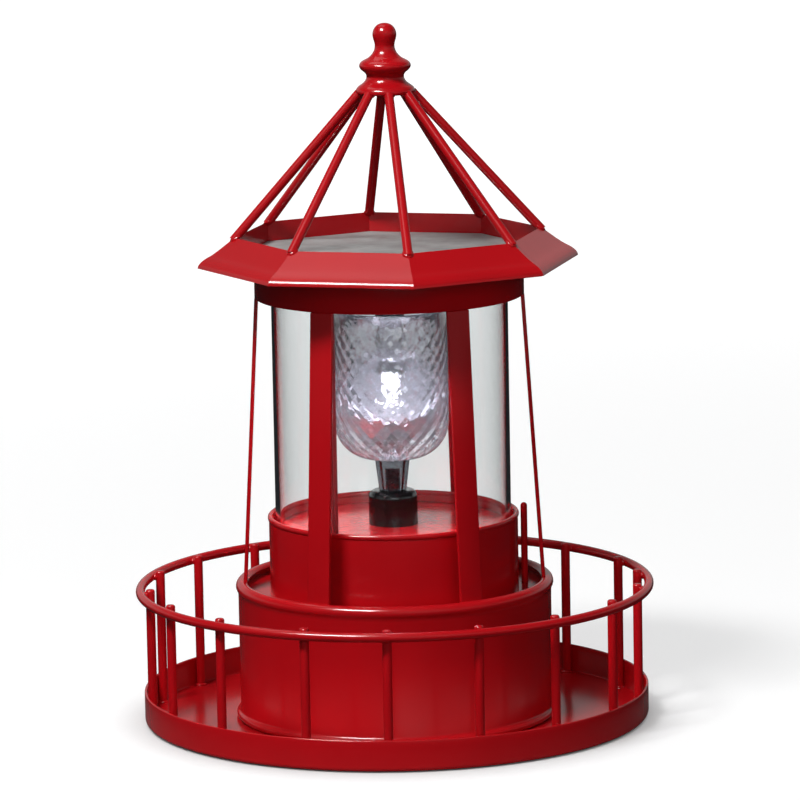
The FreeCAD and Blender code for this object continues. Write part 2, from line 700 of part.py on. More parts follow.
def panel_leads():
    azimuth = NUMBERS["lead_turn"]
    centre = around(lead_radius, azimuth)
    aside = around(dim.lead_size + 0.01, azimuth + 90.0)
    group("panel_leads", [
        cylinder("lead_%d" % n, dim.lead_size, housing_bottom - board_top,
                 centre[0] + aside[0] * side, centre[1] + aside[1] * side, board_top)
        for n, side in enumerate((-1.0, 1.0))])
    outer, lip = dim.grommet_radius, dim.grommet_lip
    ring = fuse("grommet", [
        cylinder("grommet_head", outer, lip, *centre, z=plate_top),
        cylinder("grommet_neck", outer - 0.6, dim.plate_thick, *centre, z=plate_bottom)])
    bore = cylinder("grommet_bore", dim.lead_size * 2 + 0.05, dim.plate_thick * 4,
                    *centre, z=plate_bottom - dim.plate_thick)
    keep(cut("grommet", ring, (bore,)), "lead_grommet")


def bearing():
    bush = dim.bush_radius
    revolved("bearing_cap", (
        (bush, plate_top), (dim.cap_radius, plate_top),
        (dim.cap_radius, cap_top - dim.cap_round),
        (dim.cap_radius - dim.cap_round, cap_top, dim.cap_round), (bush, cap_top)))
    bore = dim.spindle_size + dim.running_fit
    revolved("upper_bush", (
        (bore, plate_bottom), (bush, plate_bottom), (bush, cap_top), (bore, cap_top)))
    revolved("lower_bush", (
        (bore, gear_plate_bottom), (bush, gear_plate_bottom),
        (bush, gear_plate_top), (bore, gear_plate_top)))


def beacon():
    top = beacon_foot + dim.spindle_into_stem
    keep(cylinder("spindle", dim.spindle_size, top - gear_plate_bottom,
                  z=gear_plate_bottom), "spindle")
    bore, foot = dim.spindle_size, beacon_foot
    revolved("beacon_stem", (
        (bore, foot), (dim.beacon_stem_foot, foot), (dim.beacon_stem_head, goblet_bottom),
        (0.0, goblet_bottom), (0.0, top), (bore, top)))
    radius, wall, bend = dim.goblet_radius, dim.goblet_wall, dim.goblet_round
    rim = goblet_bottom + dim.goblet_height
    revolved("goblet", (
        (0.0, goblet_bottom), (radius - bend, goblet_bottom),
        (radius, goblet_bottom + bend, bend), (radius, rim - wall / 2.0),
        (radius - wall / 2.0, rim, wall / 2.0),
        (radius - wall, rim - wall / 2.0, wall / 2.0),
        (radius - wall, goblet_bottom + bend),
        (radius - bend, goblet_bottom + wall, -(bend - wall)),
        (0.0, goblet_bottom + wall)))
    centre, ball = goblet_bottom + dim.globe_centre, dim.globe_radius
    inner = ball - dim.globe_wall
    mouth = (ball * ball - dim.globe_mouth * dim.globe_mouth).root()
    inner_mouth = (inner * inner - dim.globe_mouth * dim.globe_mouth).root()
    seat = (ball * ball - dim.globe_foot * dim.globe_foot).root()
    revolved("reflector_globe", (
        (0.0, goblet_bottom + wall), (dim.globe_foot, goblet_bottom + wall),
        (dim.globe_foot, centre - seat), (ball, centre, ball),
        (dim.globe_mouth, centre + mouth, ball), (dim.globe_mouth, centre + inner_mouth),
        (inner, centre, -inner), (0.0, centre - inner, -inner)))


def toothed_wheel(label, teeth, face, bore):
    # Root disc, one tooth and a polar pattern of it.
    module = dim.gear_module
    pitch = module * teeth / 2.0
    root, tip = pitch - module * 1.25, pitch + module * 0.85
    half = (module * math.pi / 2.0 - dim.tooth_play) / 2.0
    body = doc.addObject("PartDesign::Body", label)
    rim = body.newObject("Sketcher::SketchObject", label + "_disc")
    rim.AttachmentSupport = [([p for p in body.Origin.OriginFeatures
                               if p.Role == "XY_Plane"][0], "")]
    rim.MapMode = "FlatFace"
    for number, radius in enumerate((root, bore)):
        rim.addGeometry(Part.Circle(Vector(0, 0, 0), Vector(0, 0, 1), radius.number), False)
        rim.addConstraint(Sketcher.Constraint("Coincident", number, 3, -1, 1))
        place_in_list = rim.addConstraint(Sketcher.Constraint(
            "Radius", number, radius.number))
        rim.setExpression("Constraints[%d]" % place_in_list, radius.text)
    disc = body.newObject("PartDesign::Pad", label + "_disc_pad")
    disc.Profile = rim
    bind(disc, "Length", face)
    base = root - module * 0.2
    outline_sketch = outline(body, label + "_tooth_outline", (
        (base, half * -1.35), (pitch, half * -1.0), (tip, half * -0.45),
        (tip, half * 0.45), (pitch, half), (base, half * 1.35)), "XY_Plane")
    tooth = body.newObject("PartDesign::Pad", label + "_tooth")
    tooth.Profile = outline_sketch
    bind(tooth, "Length", face)
    body.Tip = tooth
    doc.recompute()
    pattern = body.newObject("PartDesign::PolarPattern", label + "_teeth")
    pattern.Originals = [tooth]
    pattern.Axis = (rim, ["N_Axis"])
    pattern.Angle = 360.0
    pattern.Occurrences = int(teeth)
    body.Tip = pattern
    return keep(body, label)


def gears():
    wheel = toothed_wheel("spindle_gear", NUMBERS["gear_teeth"], dim.gear_face,
                          dim.spindle_size)
    place(wheel, z=gear_top - dim.gear_face)
    middle = gear_top - dim.gear_face / 2.0
    pinion = toothed_wheel("motor_pinion", NUMBERS["pinion_teeth"], dim.pinion_face,
                           dim.motor_shaft_size)
    place(pinion, y=shaft_spacing, z=middle - dim.pinion_face / 2.0,
          angle=180.0 / NUMBERS["pinion_teeth"])
    shaft_foot = gear_plate_bottom - dim.motor_shaft_depth
    keep(cylinder("motor_shaft", dim.motor_shaft_size,
                  middle + dim.pinion_face / 2.0 - shaft_foot,
                  0.0, shaft_spacing, shaft_foot), "motor_shaft")


def gear_plate():
    count = NUMBERS["pillar_count"]
    disc = cylinder("gear_disc", dim.gear_plate_radius, dim.gear_plate_thick,
                    z=gear_plate_bottom)
    tall, low = dim.gear_plate_thick * 3, gear_plate_bottom - dim.gear_plate_thick
    keep(cut("gear_plate", disc, (
        cylinder("gear_disc_bush_hole", dim.bush_radius, tall, z=low),
        cylinder("gear_disc_shaft_hole", dim.motor_shaft_size + dim.free_gap, tall,
                 0.0, shaft_spacing, low))), "gear_plate")
    group("gear_pillars", [
        cylinder("gear_pillar_%d" % n, dim.pillar_size, dim.pillar_height,
                 *around(dim.pillar_circle, 360.0 * n / count), z=gear_plate_top)
        for n in range(count)])


def motor():
    can = cylinder("motor_can", dim.motor_radius, dim.motor_length,
                   0.0, shaft_spacing, motor_bottom)
    bore = cylinder("motor_bore", dim.motor_shaft_size + dim.running_fit,
                    dim.motor_shaft_depth + 0.3, 0.0, shaft_spacing,
                    gear_plate_bottom - dim.motor_shaft_depth - 0.3)
    terminals = [
        block("motor_terminal_%d" % n, dim.terminal_size, dim.terminal_size,
              motor_bottom - board_top, dim.terminal_spread * side, shaft_spacing, board_top)
        for n, side in enumerate((-1.0, 1.0))]
    keep(cut("motor", fuse("motor", [can] + terminals), (bore,)), "motor")


def bottom_cover():
    thin = cylinder("cover_thin", cover_edge, tray_floor - cover_bottom, z=cover_bottom)
    boss = cylinder("cover_boss_disc", dim.cover_boss, dim.cover_boss_thick, z=cover_bottom)
    opening = block("cover_opening", door_length + dim.door_gap * 2,
                    door_width + dim.door_gap * 2, dim.cover_boss_thick * 3,
                    z=cover_bottom - dim.cover_boss_thick)
    hinge = hinge_line("cover_hinge_bore", dim.hinge_size + dim.running_fit,
                       door_length + dim.hinge_pin * 2 + 0.4)
    screws = []
    for n, (x, y) in enumerate(screw_places()):
        screws.append(cylinder("cover_screw_hole_%d" % n, dim.screw_size, 12.0,
                               x, y, cover_bottom - 1.0))
        head = primitive("Cone", "cover_sink_%d" % n, Radius1=dim.screw_head,
                         Radius2=dim.screw_size, Height=dim.screw_head_thick)
        screws.append(place(head, x, y, cover_bottom))
    keep(cut("bottom_cover", fuse("cover", [thin, boss]), [opening, hinge] + screws),
         "bottom_cover")


def hinge_line(name, radius, length):
    # A rod along X on the battery door's hinge axis.
    rod = primitive("Cylinder", name, Radius=radius, Height=length)
    return place(rod, -length / 2.0, dim.cover_boss_thick / 2.0 - door_width / 2.0,
                 cover_bottom + dim.cover_boss_thick / 2.0, Vector(0, 1, 0), 90.0)


def battery_door():
    thick = dim.cover_boss_thick
    edge, length = door_width / 2.0, door_length
    panel_plate = block("door_panel", length, door_width - thick / 2.0, thick,
                        0.0, thick / 4.0, cover_bottom)
    barrel = hinge_line("door_barrel", thick / 2.0, length)
    pins = hinge_line("door_pins", dim.hinge_size, length + dim.hinge_pin * 2)
    notch = block("door_notch", 10.0, 3.0, 1.2, 0.0, edge - 1.0, cover_bottom - 0.2)
    keep(cut("door", fuse("door", [panel_plate, barrel, pins]), (notch,)), "battery_door")


def screw_places():
    count = NUMBERS["screw_count"]
    return [around(dim.screw_circle, 360.0 * (n + 0.5) / count) for n in range(count)]


def cover_seat():
    ring = cylinder("seat_disc", dim.tray_hole + dim.seat_width, dim.seat_thick, z=tray_floor)
    tools = [cylinder("seat_hole", dim.cover_boss + dim.cover_play, dim.seat_thick * 3,
                      z=tray_floor - dim.seat_thick)]
    for n, (x, y) in enumerate(screw_places()):
        tools.append(cylinder("seat_screw_hole_%d" % n, dim.screw_size, dim.seat_thick * 3,
                              x, y, tray_floor - dim.seat_thick))
    keep(cut("seat", ring, tools), "cover_seat")


def cover_screws():
    screws = []
    for n, (x, y) in enumerate(screw_places()):
        head = primitive("Cone", "screw_head_%d" % n, Radius1=dim.screw_head,
                         Radius2=dim.screw_size, Height=dim.screw_head_thick)
        shank = cylinder("screw_shank_%d" % n, dim.screw_size, dim.screw_length,
                         x, y, cover_bottom)
        screws.append(fuse("screw_%d" % n, [place(head, x, y, cover_bottom), shank]))
    group("cover_screws", screws)


def battery():
    wall, top = dim.holder_wall, holder_top
    shell = block("holder_shell", room_length + wall * 2, room_width + wall * 2,
                  dim.holder_height, z=cover_top)
    room = block("holder_room", room_length, room_width, dim.holder_height - wall,
                 z=cover_top)
    posts = [cylinder("board_post_%d" % n, dim.board_pillar, board_bottom - top,
                      dim.board_pillar_spread * side, dim.board_pillar_row * row, top)
             for n, (side, row) in enumerate(((-1, -1), (1, -1), (-1, 1), (1, 1)))]
    keep(fuse("battery_holder", [cut("holder", shell, (room,))] + posts), "battery_holder")
    level = top - wall - dim.cell_radius
    left = -room_length / 2.0 + dim.contact_thick
    can = primitive("Cylinder", "cell_can", Radius=dim.cell_radius, Height=dim.cell_length)
    button = primitive("Cylinder", "cell_button_end", Radius=dim.cell_button,
                       Height=dim.cell_button_length)
    place(can, left + dim.spring_length, 0.0, level, Vector(0, 1, 0), 90.0)
    place(button, left + dim.spring_length + dim.cell_length, 0.0, level, Vector(0, 1, 0), 90.0)
    keep(fuse("battery_cell", [can, button]), "battery_cell")
    plate_width = dim.cell_radius * 1.6
    contacts = [
        block("contact_plate_%d" % n, dim.contact_thick, plate_width, plate_width,
              (room_length / 2.0 - dim.contact_thick / 2.0) * side, 0.0,
              level - plate_width / 2.0)
        for n, side in enumerate((-1.0, 1.0))]
    spring = primitive("Cone", "contact_spring", Radius1=dim.cell_button,
                       Radius2=dim.cell_button / 2.0, Height=dim.spring_length)
    place(spring, left, 0.0, level, Vector(0, 1, 0), 90.0)
    group("battery_contacts", [fuse("contact_left", [contacts[0], spring]), contacts[1]])


def circuit_board():
    keep(block("circuit_board", dim.board_length, dim.board_width, dim.board_thick,
               0.0, dim.board_shift, board_bottom), "circuit_board")
    group("board_components", [
        block("chip", dim.chip_length, dim.chip_width, dim.chip_height,
              dim.part_spread * -1, dim.part_row * -1, board_top),
        cylinder("coil", dim.coil_radius, dim.coil_height,
                 dim.part_spread, dim.part_row * -1, board_top)])


def switch():
    x, y = around(switch_radius, NUMBERS["switch_turn"])
    under_deck = deck_top - dim.gauge
    width = dim.switch_body_width
    turn = NUMBERS["switch_turn"]
    shell = primitive("Box", "switch_shell", Length=width, Width=width,
                      Height=dim.switch_body_height)
    across, along = around(width / 2.0, turn), around(width / 2.0, turn + 90.0)
    place(shell, x - across[0] - along[0], y - across[1] - along[1],
          under_deck - dim.switch_body_height, angle=turn - 90.0)
    rod_foot = under_deck - dim.switch_rod_depth
    bore_depth = dim.switch_rod_depth + dim.switch_travel
    bore = cylinder("switch_bore", dim.switch_rod_size + dim.running_fit,
                    bore_depth + 0.3, x, y, under_deck - bore_depth - 0.3)
    keep(cut("switch", shell, (bore,)), "switch_body")
    rod_top = deck_top + dim.switch_rod_reach
    size = dim.switch_rod_size
    rod = revolved("switch_rod", (
        (0.0, rod_foot), (size, rod_foot), (size, rod_top - size),
        (0.0, rod_top, size)))
    place(rod, x, y)


base_tray()
rubber_feet()
gallery()
lower_drum()
drum_deck()
upper_drum()
lamp_plate()
window_posts()
roof_ring_band()
roof_plate()
roof_skirt()
wire_collar_and_finial()
roof_wires([piece for piece in pieces if piece.Label == "wire_collar"][0])
panel()
clear_tube()
lamp()
panel_leads()
bearing()
beacon()
gears()
gear_plate()
motor()
bottom_cover()
battery_door()
cover_seat()
cover_screws()
battery()
circuit_board()
switch()
doc.recompute()

for item in doc.Objects:
    if "Invalid" in item.State or "Error" in item.State:
        raise ValueError("%s: %s" % (item.Label, item.State))
for piece in pieces:
    shape = piece.Shape
    if shape.isNull() or not shape.isValid() or not shape.Solids:
        raise ValueError("%s has no valid solid" % piece.Label)
    box = shape.BoundBox
    print("%-20s solids %2d  x %7.2f..%7.2f  y %7.2f..%7.2f  z %7.2f..%7.2f" % (
        piece.Label, len(shape.Solids), box.XMin, box.XMax, box.YMin, box.YMax,
        box.ZMin, box.ZMax))
    shape.exportStep("parts/%s.step" % piece.Label)
print("pieces", len(pieces))
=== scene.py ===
import json
import math
import bpy
from mathutils import Matrix, Vector

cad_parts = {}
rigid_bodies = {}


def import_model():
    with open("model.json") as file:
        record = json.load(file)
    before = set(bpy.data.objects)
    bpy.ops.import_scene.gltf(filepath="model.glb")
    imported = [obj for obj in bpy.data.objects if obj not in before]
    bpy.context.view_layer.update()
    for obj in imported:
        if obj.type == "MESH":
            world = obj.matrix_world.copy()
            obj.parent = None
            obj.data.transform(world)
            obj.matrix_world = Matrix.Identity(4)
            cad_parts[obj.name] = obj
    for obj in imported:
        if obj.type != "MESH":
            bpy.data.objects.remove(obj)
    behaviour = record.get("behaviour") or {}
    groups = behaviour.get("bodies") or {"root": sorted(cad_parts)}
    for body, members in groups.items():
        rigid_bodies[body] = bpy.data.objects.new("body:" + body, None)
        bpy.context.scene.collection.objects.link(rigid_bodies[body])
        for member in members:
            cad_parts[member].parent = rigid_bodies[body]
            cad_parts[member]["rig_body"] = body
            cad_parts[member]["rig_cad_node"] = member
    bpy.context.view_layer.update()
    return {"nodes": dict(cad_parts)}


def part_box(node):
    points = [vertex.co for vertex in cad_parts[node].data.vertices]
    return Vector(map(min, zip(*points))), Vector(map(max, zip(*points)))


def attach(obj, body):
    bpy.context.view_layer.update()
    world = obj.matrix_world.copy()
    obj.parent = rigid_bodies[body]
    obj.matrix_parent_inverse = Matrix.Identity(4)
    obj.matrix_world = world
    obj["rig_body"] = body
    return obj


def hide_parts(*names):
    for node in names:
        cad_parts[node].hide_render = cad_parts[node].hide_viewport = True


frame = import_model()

mm = 0.001
nodes = frame["nodes"]
print("frame loaded,", len(nodes), "nodes")


def toLinear(code):
    # A hex colour as linear red, green and blue, with full alpha.
    values = [int(code[i:i + 2], 16) / 255 for i in (0, 2, 4)]
    return [v / 12.92 if v <= 0.04045 else ((v + 0.055) / 1.055) ** 2.4 for v in values] + [1.0]


def addNode(tree, kind, settings=None, values=None, links=None):
    node = tree.nodes.new(kind)
    for key, value in (settings or {}).items():
        setattr(node, key, value)
    for key, value in (values or {}).items():
        node.inputs[key].default_value = value
    for key, source in (links or {}).items():
        tree.links.new(source, node.inputs[key])
    return node


def newMaterial(name):
    material = bpy.data.materials.new(name)
    material.use_nodes = True
    material.node_tree.nodes.clear()
    return material, material.node_tree


def deselect():
    if bpy.context.object and bpy.context.object.mode != "OBJECT":
        bpy.ops.object.mode_set(mode="OBJECT")
    bpy.ops.object.select_all(action="DESELECT")


def pick(*pieces):
    deselect()
    for piece in pieces:
        piece.select_set(True)
    bpy.context.view_layer.objects.active = pieces[0]
    return pieces[0]


def boxMm(node):
    low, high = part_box(node)
    return low / mm, high / mm


def applyModifier(piece, kind, **settings):
    pick(piece)
    modifier = piece.modifiers.new(kind.title(), kind)
    for key, value in settings.items():
        setattr(modifier, key, value)
    bpy.ops.object.modifier_apply(modifier=modifier.name)


def softenEdges(piece, width, segments=3, angle=30):
    applyModifier(piece, "BEVEL", width=width * mm, segments=segments, limit_method="ANGLE",
                  angle_limit=math.radians(angle), harden_normals=False)


def turned(profile, sides, turn=0.0, closed=True):
    # One ring is extruded and scaled from point to point of the profile, (radius, height) in mm.
    # A closed profile ends where it began, and a radius of nothing becomes a pole.
    deselect()
    # With few sides, the radius is to the middle of each flat and not to its corners.
    flat = 1 / math.cos(math.pi / sides) if sides < 16 else 1
    poleSize = 0.002
    radius, height = max(profile[0][0], poleSize), profile[0][1]
    bpy.ops.mesh.primitive_circle_add(vertices=sides, radius=radius * flat * mm,
                                      location=(0, 0, height * mm),
                                      rotation=(0, 0, math.radians(turn)))
    piece = bpy.context.object
    bpy.ops.object.transform_apply(location=True, rotation=True, scale=True)
    bpy.ops.object.mode_set(mode="EDIT")
    bpy.ops.mesh.select_all(action="SELECT")
    for nextRadius, nextHeight in list(profile[1:]) + ([profile[0]] if closed else []):
        nextRadius = max(nextRadius, poleSize)
        bpy.ops.mesh.extrude_region_move(
            TRANSFORM_OT_translate={"value": (0, 0, (nextHeight - height) * mm)})
        grow = nextRadius / radius
        bpy.ops.transform.resize(value=(grow, grow, 1), center_override=(0, 0, 0))
        radius, height = nextRadius, nextHeight
    bpy.ops.mesh.select_all(action="SELECT")
    bpy.ops.mesh.remove_doubles(threshold=2.5 * poleSize * mm)
    bpy.ops.mesh.normals_make_consistent(inside=False)
    bpy.ops.object.mode_set(mode="OBJECT")
    return piece


def arcPoints(centre, radius, start, end, steps):
    # Points of a round in a profile, by angle in degrees from straight outwards.
    return [(centre[0] + radius * math.cos(math.radians(start + (end - start) * i / steps)),
             centre[1] + radius * math.sin(math.radians(start + (end - start) * i / steps)))
            for i in range(steps + 1)]


def copyOfNode(node):
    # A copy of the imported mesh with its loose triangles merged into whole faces.
    piece = nodes[node].copy()
    piece.data = nodes[node].data.copy()
    piece.parent = None
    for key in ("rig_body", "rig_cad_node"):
        if key in piece:
            del piece[key]
    bpy.context.scene.collection.objects.link(piece)
    pick(piece)
    bpy.ops.object.mode_set(mode="EDIT")
    bpy.ops.mesh.select_all(action="SELECT")
    bpy.ops.mesh.remove_doubles(threshold=2e-6)
    bpy.ops.mesh.dissolve_limited(angle_limit=math.radians(1))
    bpy.ops.object.mode_set(mode="OBJECT")
    bpy.ops.mesh.customdata_custom_splitnormals_clear()
    return piece


def turnedCopy(piece, azimuth):
    # A copy with its own mesh, turned about the lighthouse's axis.
    twin = piece.copy()
    twin.data = piece.data.copy()
    twin.data.transform(Matrix.Rotation(math.radians(azimuth), 4, "Z"))
    bpy.context.scene.collection.objects.link(twin)
    return twin


def joined(pieces):
    pick(*pieces)
    bpy.ops.object.join()
    return bpy.context.object


def finishPiece(piece, name, body, material, stands=(), angle=35, facets=False):
    # Edges sharper than the angle stay crisp. Facets are shaded flat up to their bevels.
    pick(piece)
    piece.name = piece.data.name = name
    bpy.ops.object.transform_apply(location=True, rotation=True, scale=True)
    bpy.ops.object.shade_smooth_by_angle(angle=math.radians(angle))
    if facets:
        applyModifier(piece, "WEIGHTED_NORMAL", keep_sharp=True, weight=100)
    piece.data.materials.clear()
    piece.data.materials.append(material)
    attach(piece, body)
    if stands:
        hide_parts(*stands)
    return piece


def dress(node, material):
    nodes[node].data.materials.clear()
    nodes[node].data.materials.append(material)


# The camera stands where the photograph was taken from, in metres.
cameraView = {"place": (0.0, -1.8165, 0.4131), "aim": (0.0, 0.0, 0.110), "lens": 255.1,
              "sensor": 36.0, "roll": -0.01874, "shift": (0.01134, -0.01951),
              "nearest": 0.05, "furthest": 50.0}
cameraData = bpy.data.cameras.new("camera")
cameraObject = bpy.data.objects.new("camera", cameraData)
bpy.context.scene.collection.objects.link(cameraObject)
cameraData.lens = cameraView["lens"]
cameraData.sensor_width = cameraView["sensor"]
cameraData.shift_x, cameraData.shift_y = cameraView["shift"]
cameraData.clip_start, cameraData.clip_end = cameraView["nearest"], cameraView["furthest"]
towards = Vector(cameraView["aim"]) - Vector(cameraView["place"])
cameraObject.rotation_euler = (towards.to_track_quat("-Z", "Y").to_matrix()
                               @ Matrix.Rotation(cameraView["roll"], 3, "Z")).to_euler()
cameraObject.location = cameraView["place"]
bpy.context.scene.camera = cameraObject
print("camera placed")


enamel = {"colour": "BE0F18", "deep": "A80B13", "toneMm": 30.0, "roughFrom": 0.14,
          "roughTo": 0.22, "specular": 0.35, "peelMm": 1.6, "peelDepth": 0.010,
          "peelStrength": 0.5}


def makeEnamel():
    # Stoved enamel on sheet steel: even deep red under a hard gloss, with faint orange peel.
    material, tree = newMaterial("stovedEnamel")
    place = addNode(tree, "ShaderNodeTexCoord")
    tone = addNode(tree, "ShaderNodeTexNoise",
                   values={"Scale": 1 / (enamel["toneMm"] * mm), "Detail": 2.0},
                   links={"Vector": place.outputs["Object"]})
    colour = addNode(tree, "ShaderNodeMix", {"data_type": "RGBA"},
                     {"A": toLinear(enamel["colour"]), "B": toLinear(enamel["deep"])},
                     {"Factor": tone.outputs["Fac"]})
    peel = addNode(tree, "ShaderNodeTexNoise",
                   values={"Scale": 1 / (enamel["peelMm"] * mm), "Detail": 1.0},
                   links={"Vector": place.outputs["Object"]})
    bump = addNode(tree, "ShaderNodeBump",
                   values={"Strength": enamel["peelStrength"],
                           "Distance": enamel["peelDepth"] * mm},
                   links={"Height": peel.outputs["Fac"]})
    gloss = addNode(tree, "ShaderNodeMapRange",
                    values={"To Min": enamel["roughFrom"], "To Max": enamel["roughTo"]},
                    links={"Value": tone.outputs["Fac"]})
    paint = addNode(tree, "ShaderNodeBsdfPrincipled",
                    values={"Specular IOR Level": enamel["specular"]},
                    links={"Base Color": colour.outputs["Result"], "Normal": bump.outputs[0],
                           "Roughness": gloss.outputs[0]})
    addNode(tree, "ShaderNodeOutputMaterial", links={"Surface": paint.outputs[0]})
    return material


def letLampsThrough(tree, body, tint):
    # A lamp's light goes straight through clear plastic and takes only its tint.
    straight = addNode(tree, "ShaderNodeBsdfTransparent", values={"Color": toLinear(tint)})
    path = addNode(tree, "ShaderNodeLightPath")
    mixed = addNode(tree, "ShaderNodeMixShader", links={
        0: path.outputs["Is Shadow Ray"], 1: body.outputs[0], 2: straight.outputs[0]})
    addNode(tree, "ShaderNodeOutputMaterial", links={"Surface": mixed.outputs[0]})


def makeClear(name, tint, rough, ior):
    # Moulded clear plastic. It bends and mirrors what is near, and its tint is even.
    material, tree = newMaterial(name)
    plastic = addNode(tree, "ShaderNodeBsdfPrincipled", values={
        "Base Color": toLinear(tint), "Transmission Weight": 1.0, "Roughness": rough,
        "IOR": ior})
    letLampsThrough(tree, plastic, tint)
    return material


tube = {"tint": "F4F6F6", "edge": "C4BEC0", "edgeFrom": 0.92, "edgeTo": 0.985, "rough": 0.02,
        "ior": 1.49}


def makeTube():
    # Extruded acrylic. Seen edge on, the wall is deep and turns dark, as the real tube's does.
    material, tree = newMaterial("extrudedAcrylic")
    facing = addNode(tree, "ShaderNodeLayerWeight", values={"Blend": 0.5})
    edge = addNode(tree, "ShaderNodeMapRange", {"interpolation_type": "SMOOTHSTEP"},
                   {"From Min": tube["edgeFrom"], "From Max": tube["edgeTo"]},
                   {"Value": facing.outputs["Facing"]})
    colour = addNode(tree, "ShaderNodeMix", {"data_type": "RGBA"},
                     {"A": toLinear(tube["tint"]), "B": toLinear(tube["edge"])},
                     {"Factor": edge.outputs[0]})
    wall = addNode(tree, "ShaderNodeBsdfPrincipled",
                   values={"Transmission Weight": 1.0, "Roughness": tube["rough"],
                           "IOR": tube["ior"]},
                   links={"Base Color": colour.outputs["Result"]})
    letLampsThrough(tree, wall, tube["tint"])
    return material


plain = {"grainStrength": 0.5, "grainDepth": 0.01, "spread": 0.06, "glossiest": 0.02}


def makePlain(name, colour, rough, metallic=0.0, grainMm=0.8):
    # Moulded plastic, rubber or turned metal, with a fine grain in its surface and its gloss.
    material, tree = newMaterial(name)
    place = addNode(tree, "ShaderNodeTexCoord")
    grain = addNode(tree, "ShaderNodeTexNoise",
                    values={"Scale": 1 / (grainMm * mm), "Detail": 2.0},
                    links={"Vector": place.outputs["Object"]})
    bump = addNode(tree, "ShaderNodeBump",
                   values={"Strength": plain["grainStrength"],
                           "Distance": plain["grainDepth"] * mm},
                   links={"Height": grain.outputs["Fac"]})
    gloss = addNode(tree, "ShaderNodeMapRange",
                    values={"To Min": max(rough - plain["spread"], plain["glossiest"]),
                            "To Max": rough + plain["spread"]},
                    links={"Value": grain.outputs["Fac"]})
    body = addNode(tree, "ShaderNodeBsdfPrincipled",
                   values={"Base Color": toLinear(colour), "Metallic": metallic},
                   links={"Normal": bump.outputs[0], "Roughness": gloss.outputs[0]})
    addNode(tree, "ShaderNodeOutputMaterial", links={"Surface": body.outputs[0]})
    return material


lens = {"colour": "F6F4FD", "strength": 9.0, "dimmest": 0.7, "brightest": 1.2,
        "phosphorMm": 1.4, "cloudFrom": 0.3, "cloudTo": 0.7, "rough": 0.1}


def makeLens():
    # A lit lamp lens: clear resin, whose glow is cloudy and uneven from the phosphor inside.
    material, tree = newMaterial("litLens")
    place = addNode(tree, "ShaderNodeTexCoord")
    cloud = addNode(tree, "ShaderNodeTexNoise",
                    values={"Scale": 1 / (lens["phosphorMm"] * mm), "Detail": 1.0},
                    links={"Vector": place.outputs["Object"]})
    glow = addNode(tree, "ShaderNodeMapRange",
                   values={"From Min": lens["cloudFrom"], "From Max": lens["cloudTo"],
                           "To Min": lens["strength"] * lens["dimmest"],
                           "To Max": lens["strength"] * lens["brightest"]},
                   links={"Value": cloud.outputs["Fac"]})
    resin = addNode(tree, "ShaderNodeBsdfPrincipled",
                    values={"Base Color": toLinear(lens["colour"]), "Roughness": lens["rough"],
                            "Emission Color": toLinear(lens["colour"])},
                    links={"Emission Strength": glow.outputs[0]})
    addNode(tree, "ShaderNodeOutputMaterial", links={"Surface": resin.outputs[0]})
    return material


redEnamel = makeEnamel()
clearTubePlastic = makeTube()
smokePlastic = makeClear("smokeStyrene", "6E7076", 0.08, 1.55)
lensResin = makeLens()
blackGloss = makePlain("polishedBlackNylon", "0A0A0C", 0.10)
blackPlastic = makePlain("mouldedBlackAbs", "131314", 0.45, grainMm=0.5)
navyPlastic = makePlain("navyAbs", "10162C", 0.16)
blackRubber = makePlain("blackRubber", "151515", 0.7)
turnedSteel = makePlain("platedSteel", "B9BCC0", 0.28, 1.0)
turnedBrass = makePlain("turnedBrass", "C9A55A", 0.25, 1.0)
boardGreen = makePlain("solderMask", "1E5A34", 0.35)
batteryWrap = makePlain("shrinkWrap", "3F7F58", 0.3)
leadRed = makePlain("redLead", "7C1218", 0.35)
print("materials made")


# Base tray: a round pan with an upturned lip and an open middle.
pan = {"outer": 82.5, "hole": 41.0, "middle": 60.0, "wall": 0.9, "lip": 2.0, "bend": 1.4,
       "innerBend": 0.6, "edge": 0.3}
low, high = boxMm("base_tray")
outer, bend, innerBend = pan["outer"], pan["bend"], pan["innerBend"]
inner, floorTop, lipFoot = outer - pan["wall"], low.z + pan["wall"], high.z - pan["lip"]
basePan = turned(
    [(pan["hole"], low.z), (pan["middle"], low.z)]
    + arcPoints((outer - bend, low.z + bend), bend, -90, 0, 6)
    + [(outer, lipFoot), (outer, high.z), (inner, high.z), (inner, lipFoot)]
    + arcPoints((inner - innerBend, floorTop + innerBend), innerBend, 0, -90, 4)
    + [(pan["middle"], floorTop), (pan["hole"], floorTop)], sides=180)
softenEdges(basePan, pan["edge"])
finishPiece(basePan, "basePan", "lighthouse", redEnamel, ["base_tray"])
print("base tray made")


# Gallery: upright wires, spaced as unevenly as they were welded, inside a ring of wire.
gallery = {"wire": 3.0, "circle": 80.1, "endRound": 0.7, "turn": -2.0,
           "steps": (0, 21, 41, 62, 81, 98, 114, 136, 157, 177, 198, 218, 237, 257, 279, 298,
                     318, 341)}
galleryAzimuths = [gallery["turn"] + step for step in gallery["steps"]]
low, high = boxMm("gallery_balusters")
deselect()
bpy.ops.mesh.primitive_cylinder_add(
    vertices=24, radius=gallery["wire"] / 2 * mm, depth=(high.z - low.z) * mm,
    location=(0, -gallery["circle"] * mm, (high.z + low.z) / 2 * mm))
baluster = bpy.context.object
bpy.ops.object.transform_apply(location=True, rotation=True, scale=True)
softenEdges(baluster, gallery["endRound"], 4)
balusters = [turnedCopy(baluster, azimuth) for azimuth in galleryAzimuths]
bpy.data.objects.remove(baluster)
finishPiece(joined(balusters), "balusterWires", "lighthouse", redEnamel,
            ["gallery_balusters"])
dress("gallery_rail", redEnamel)

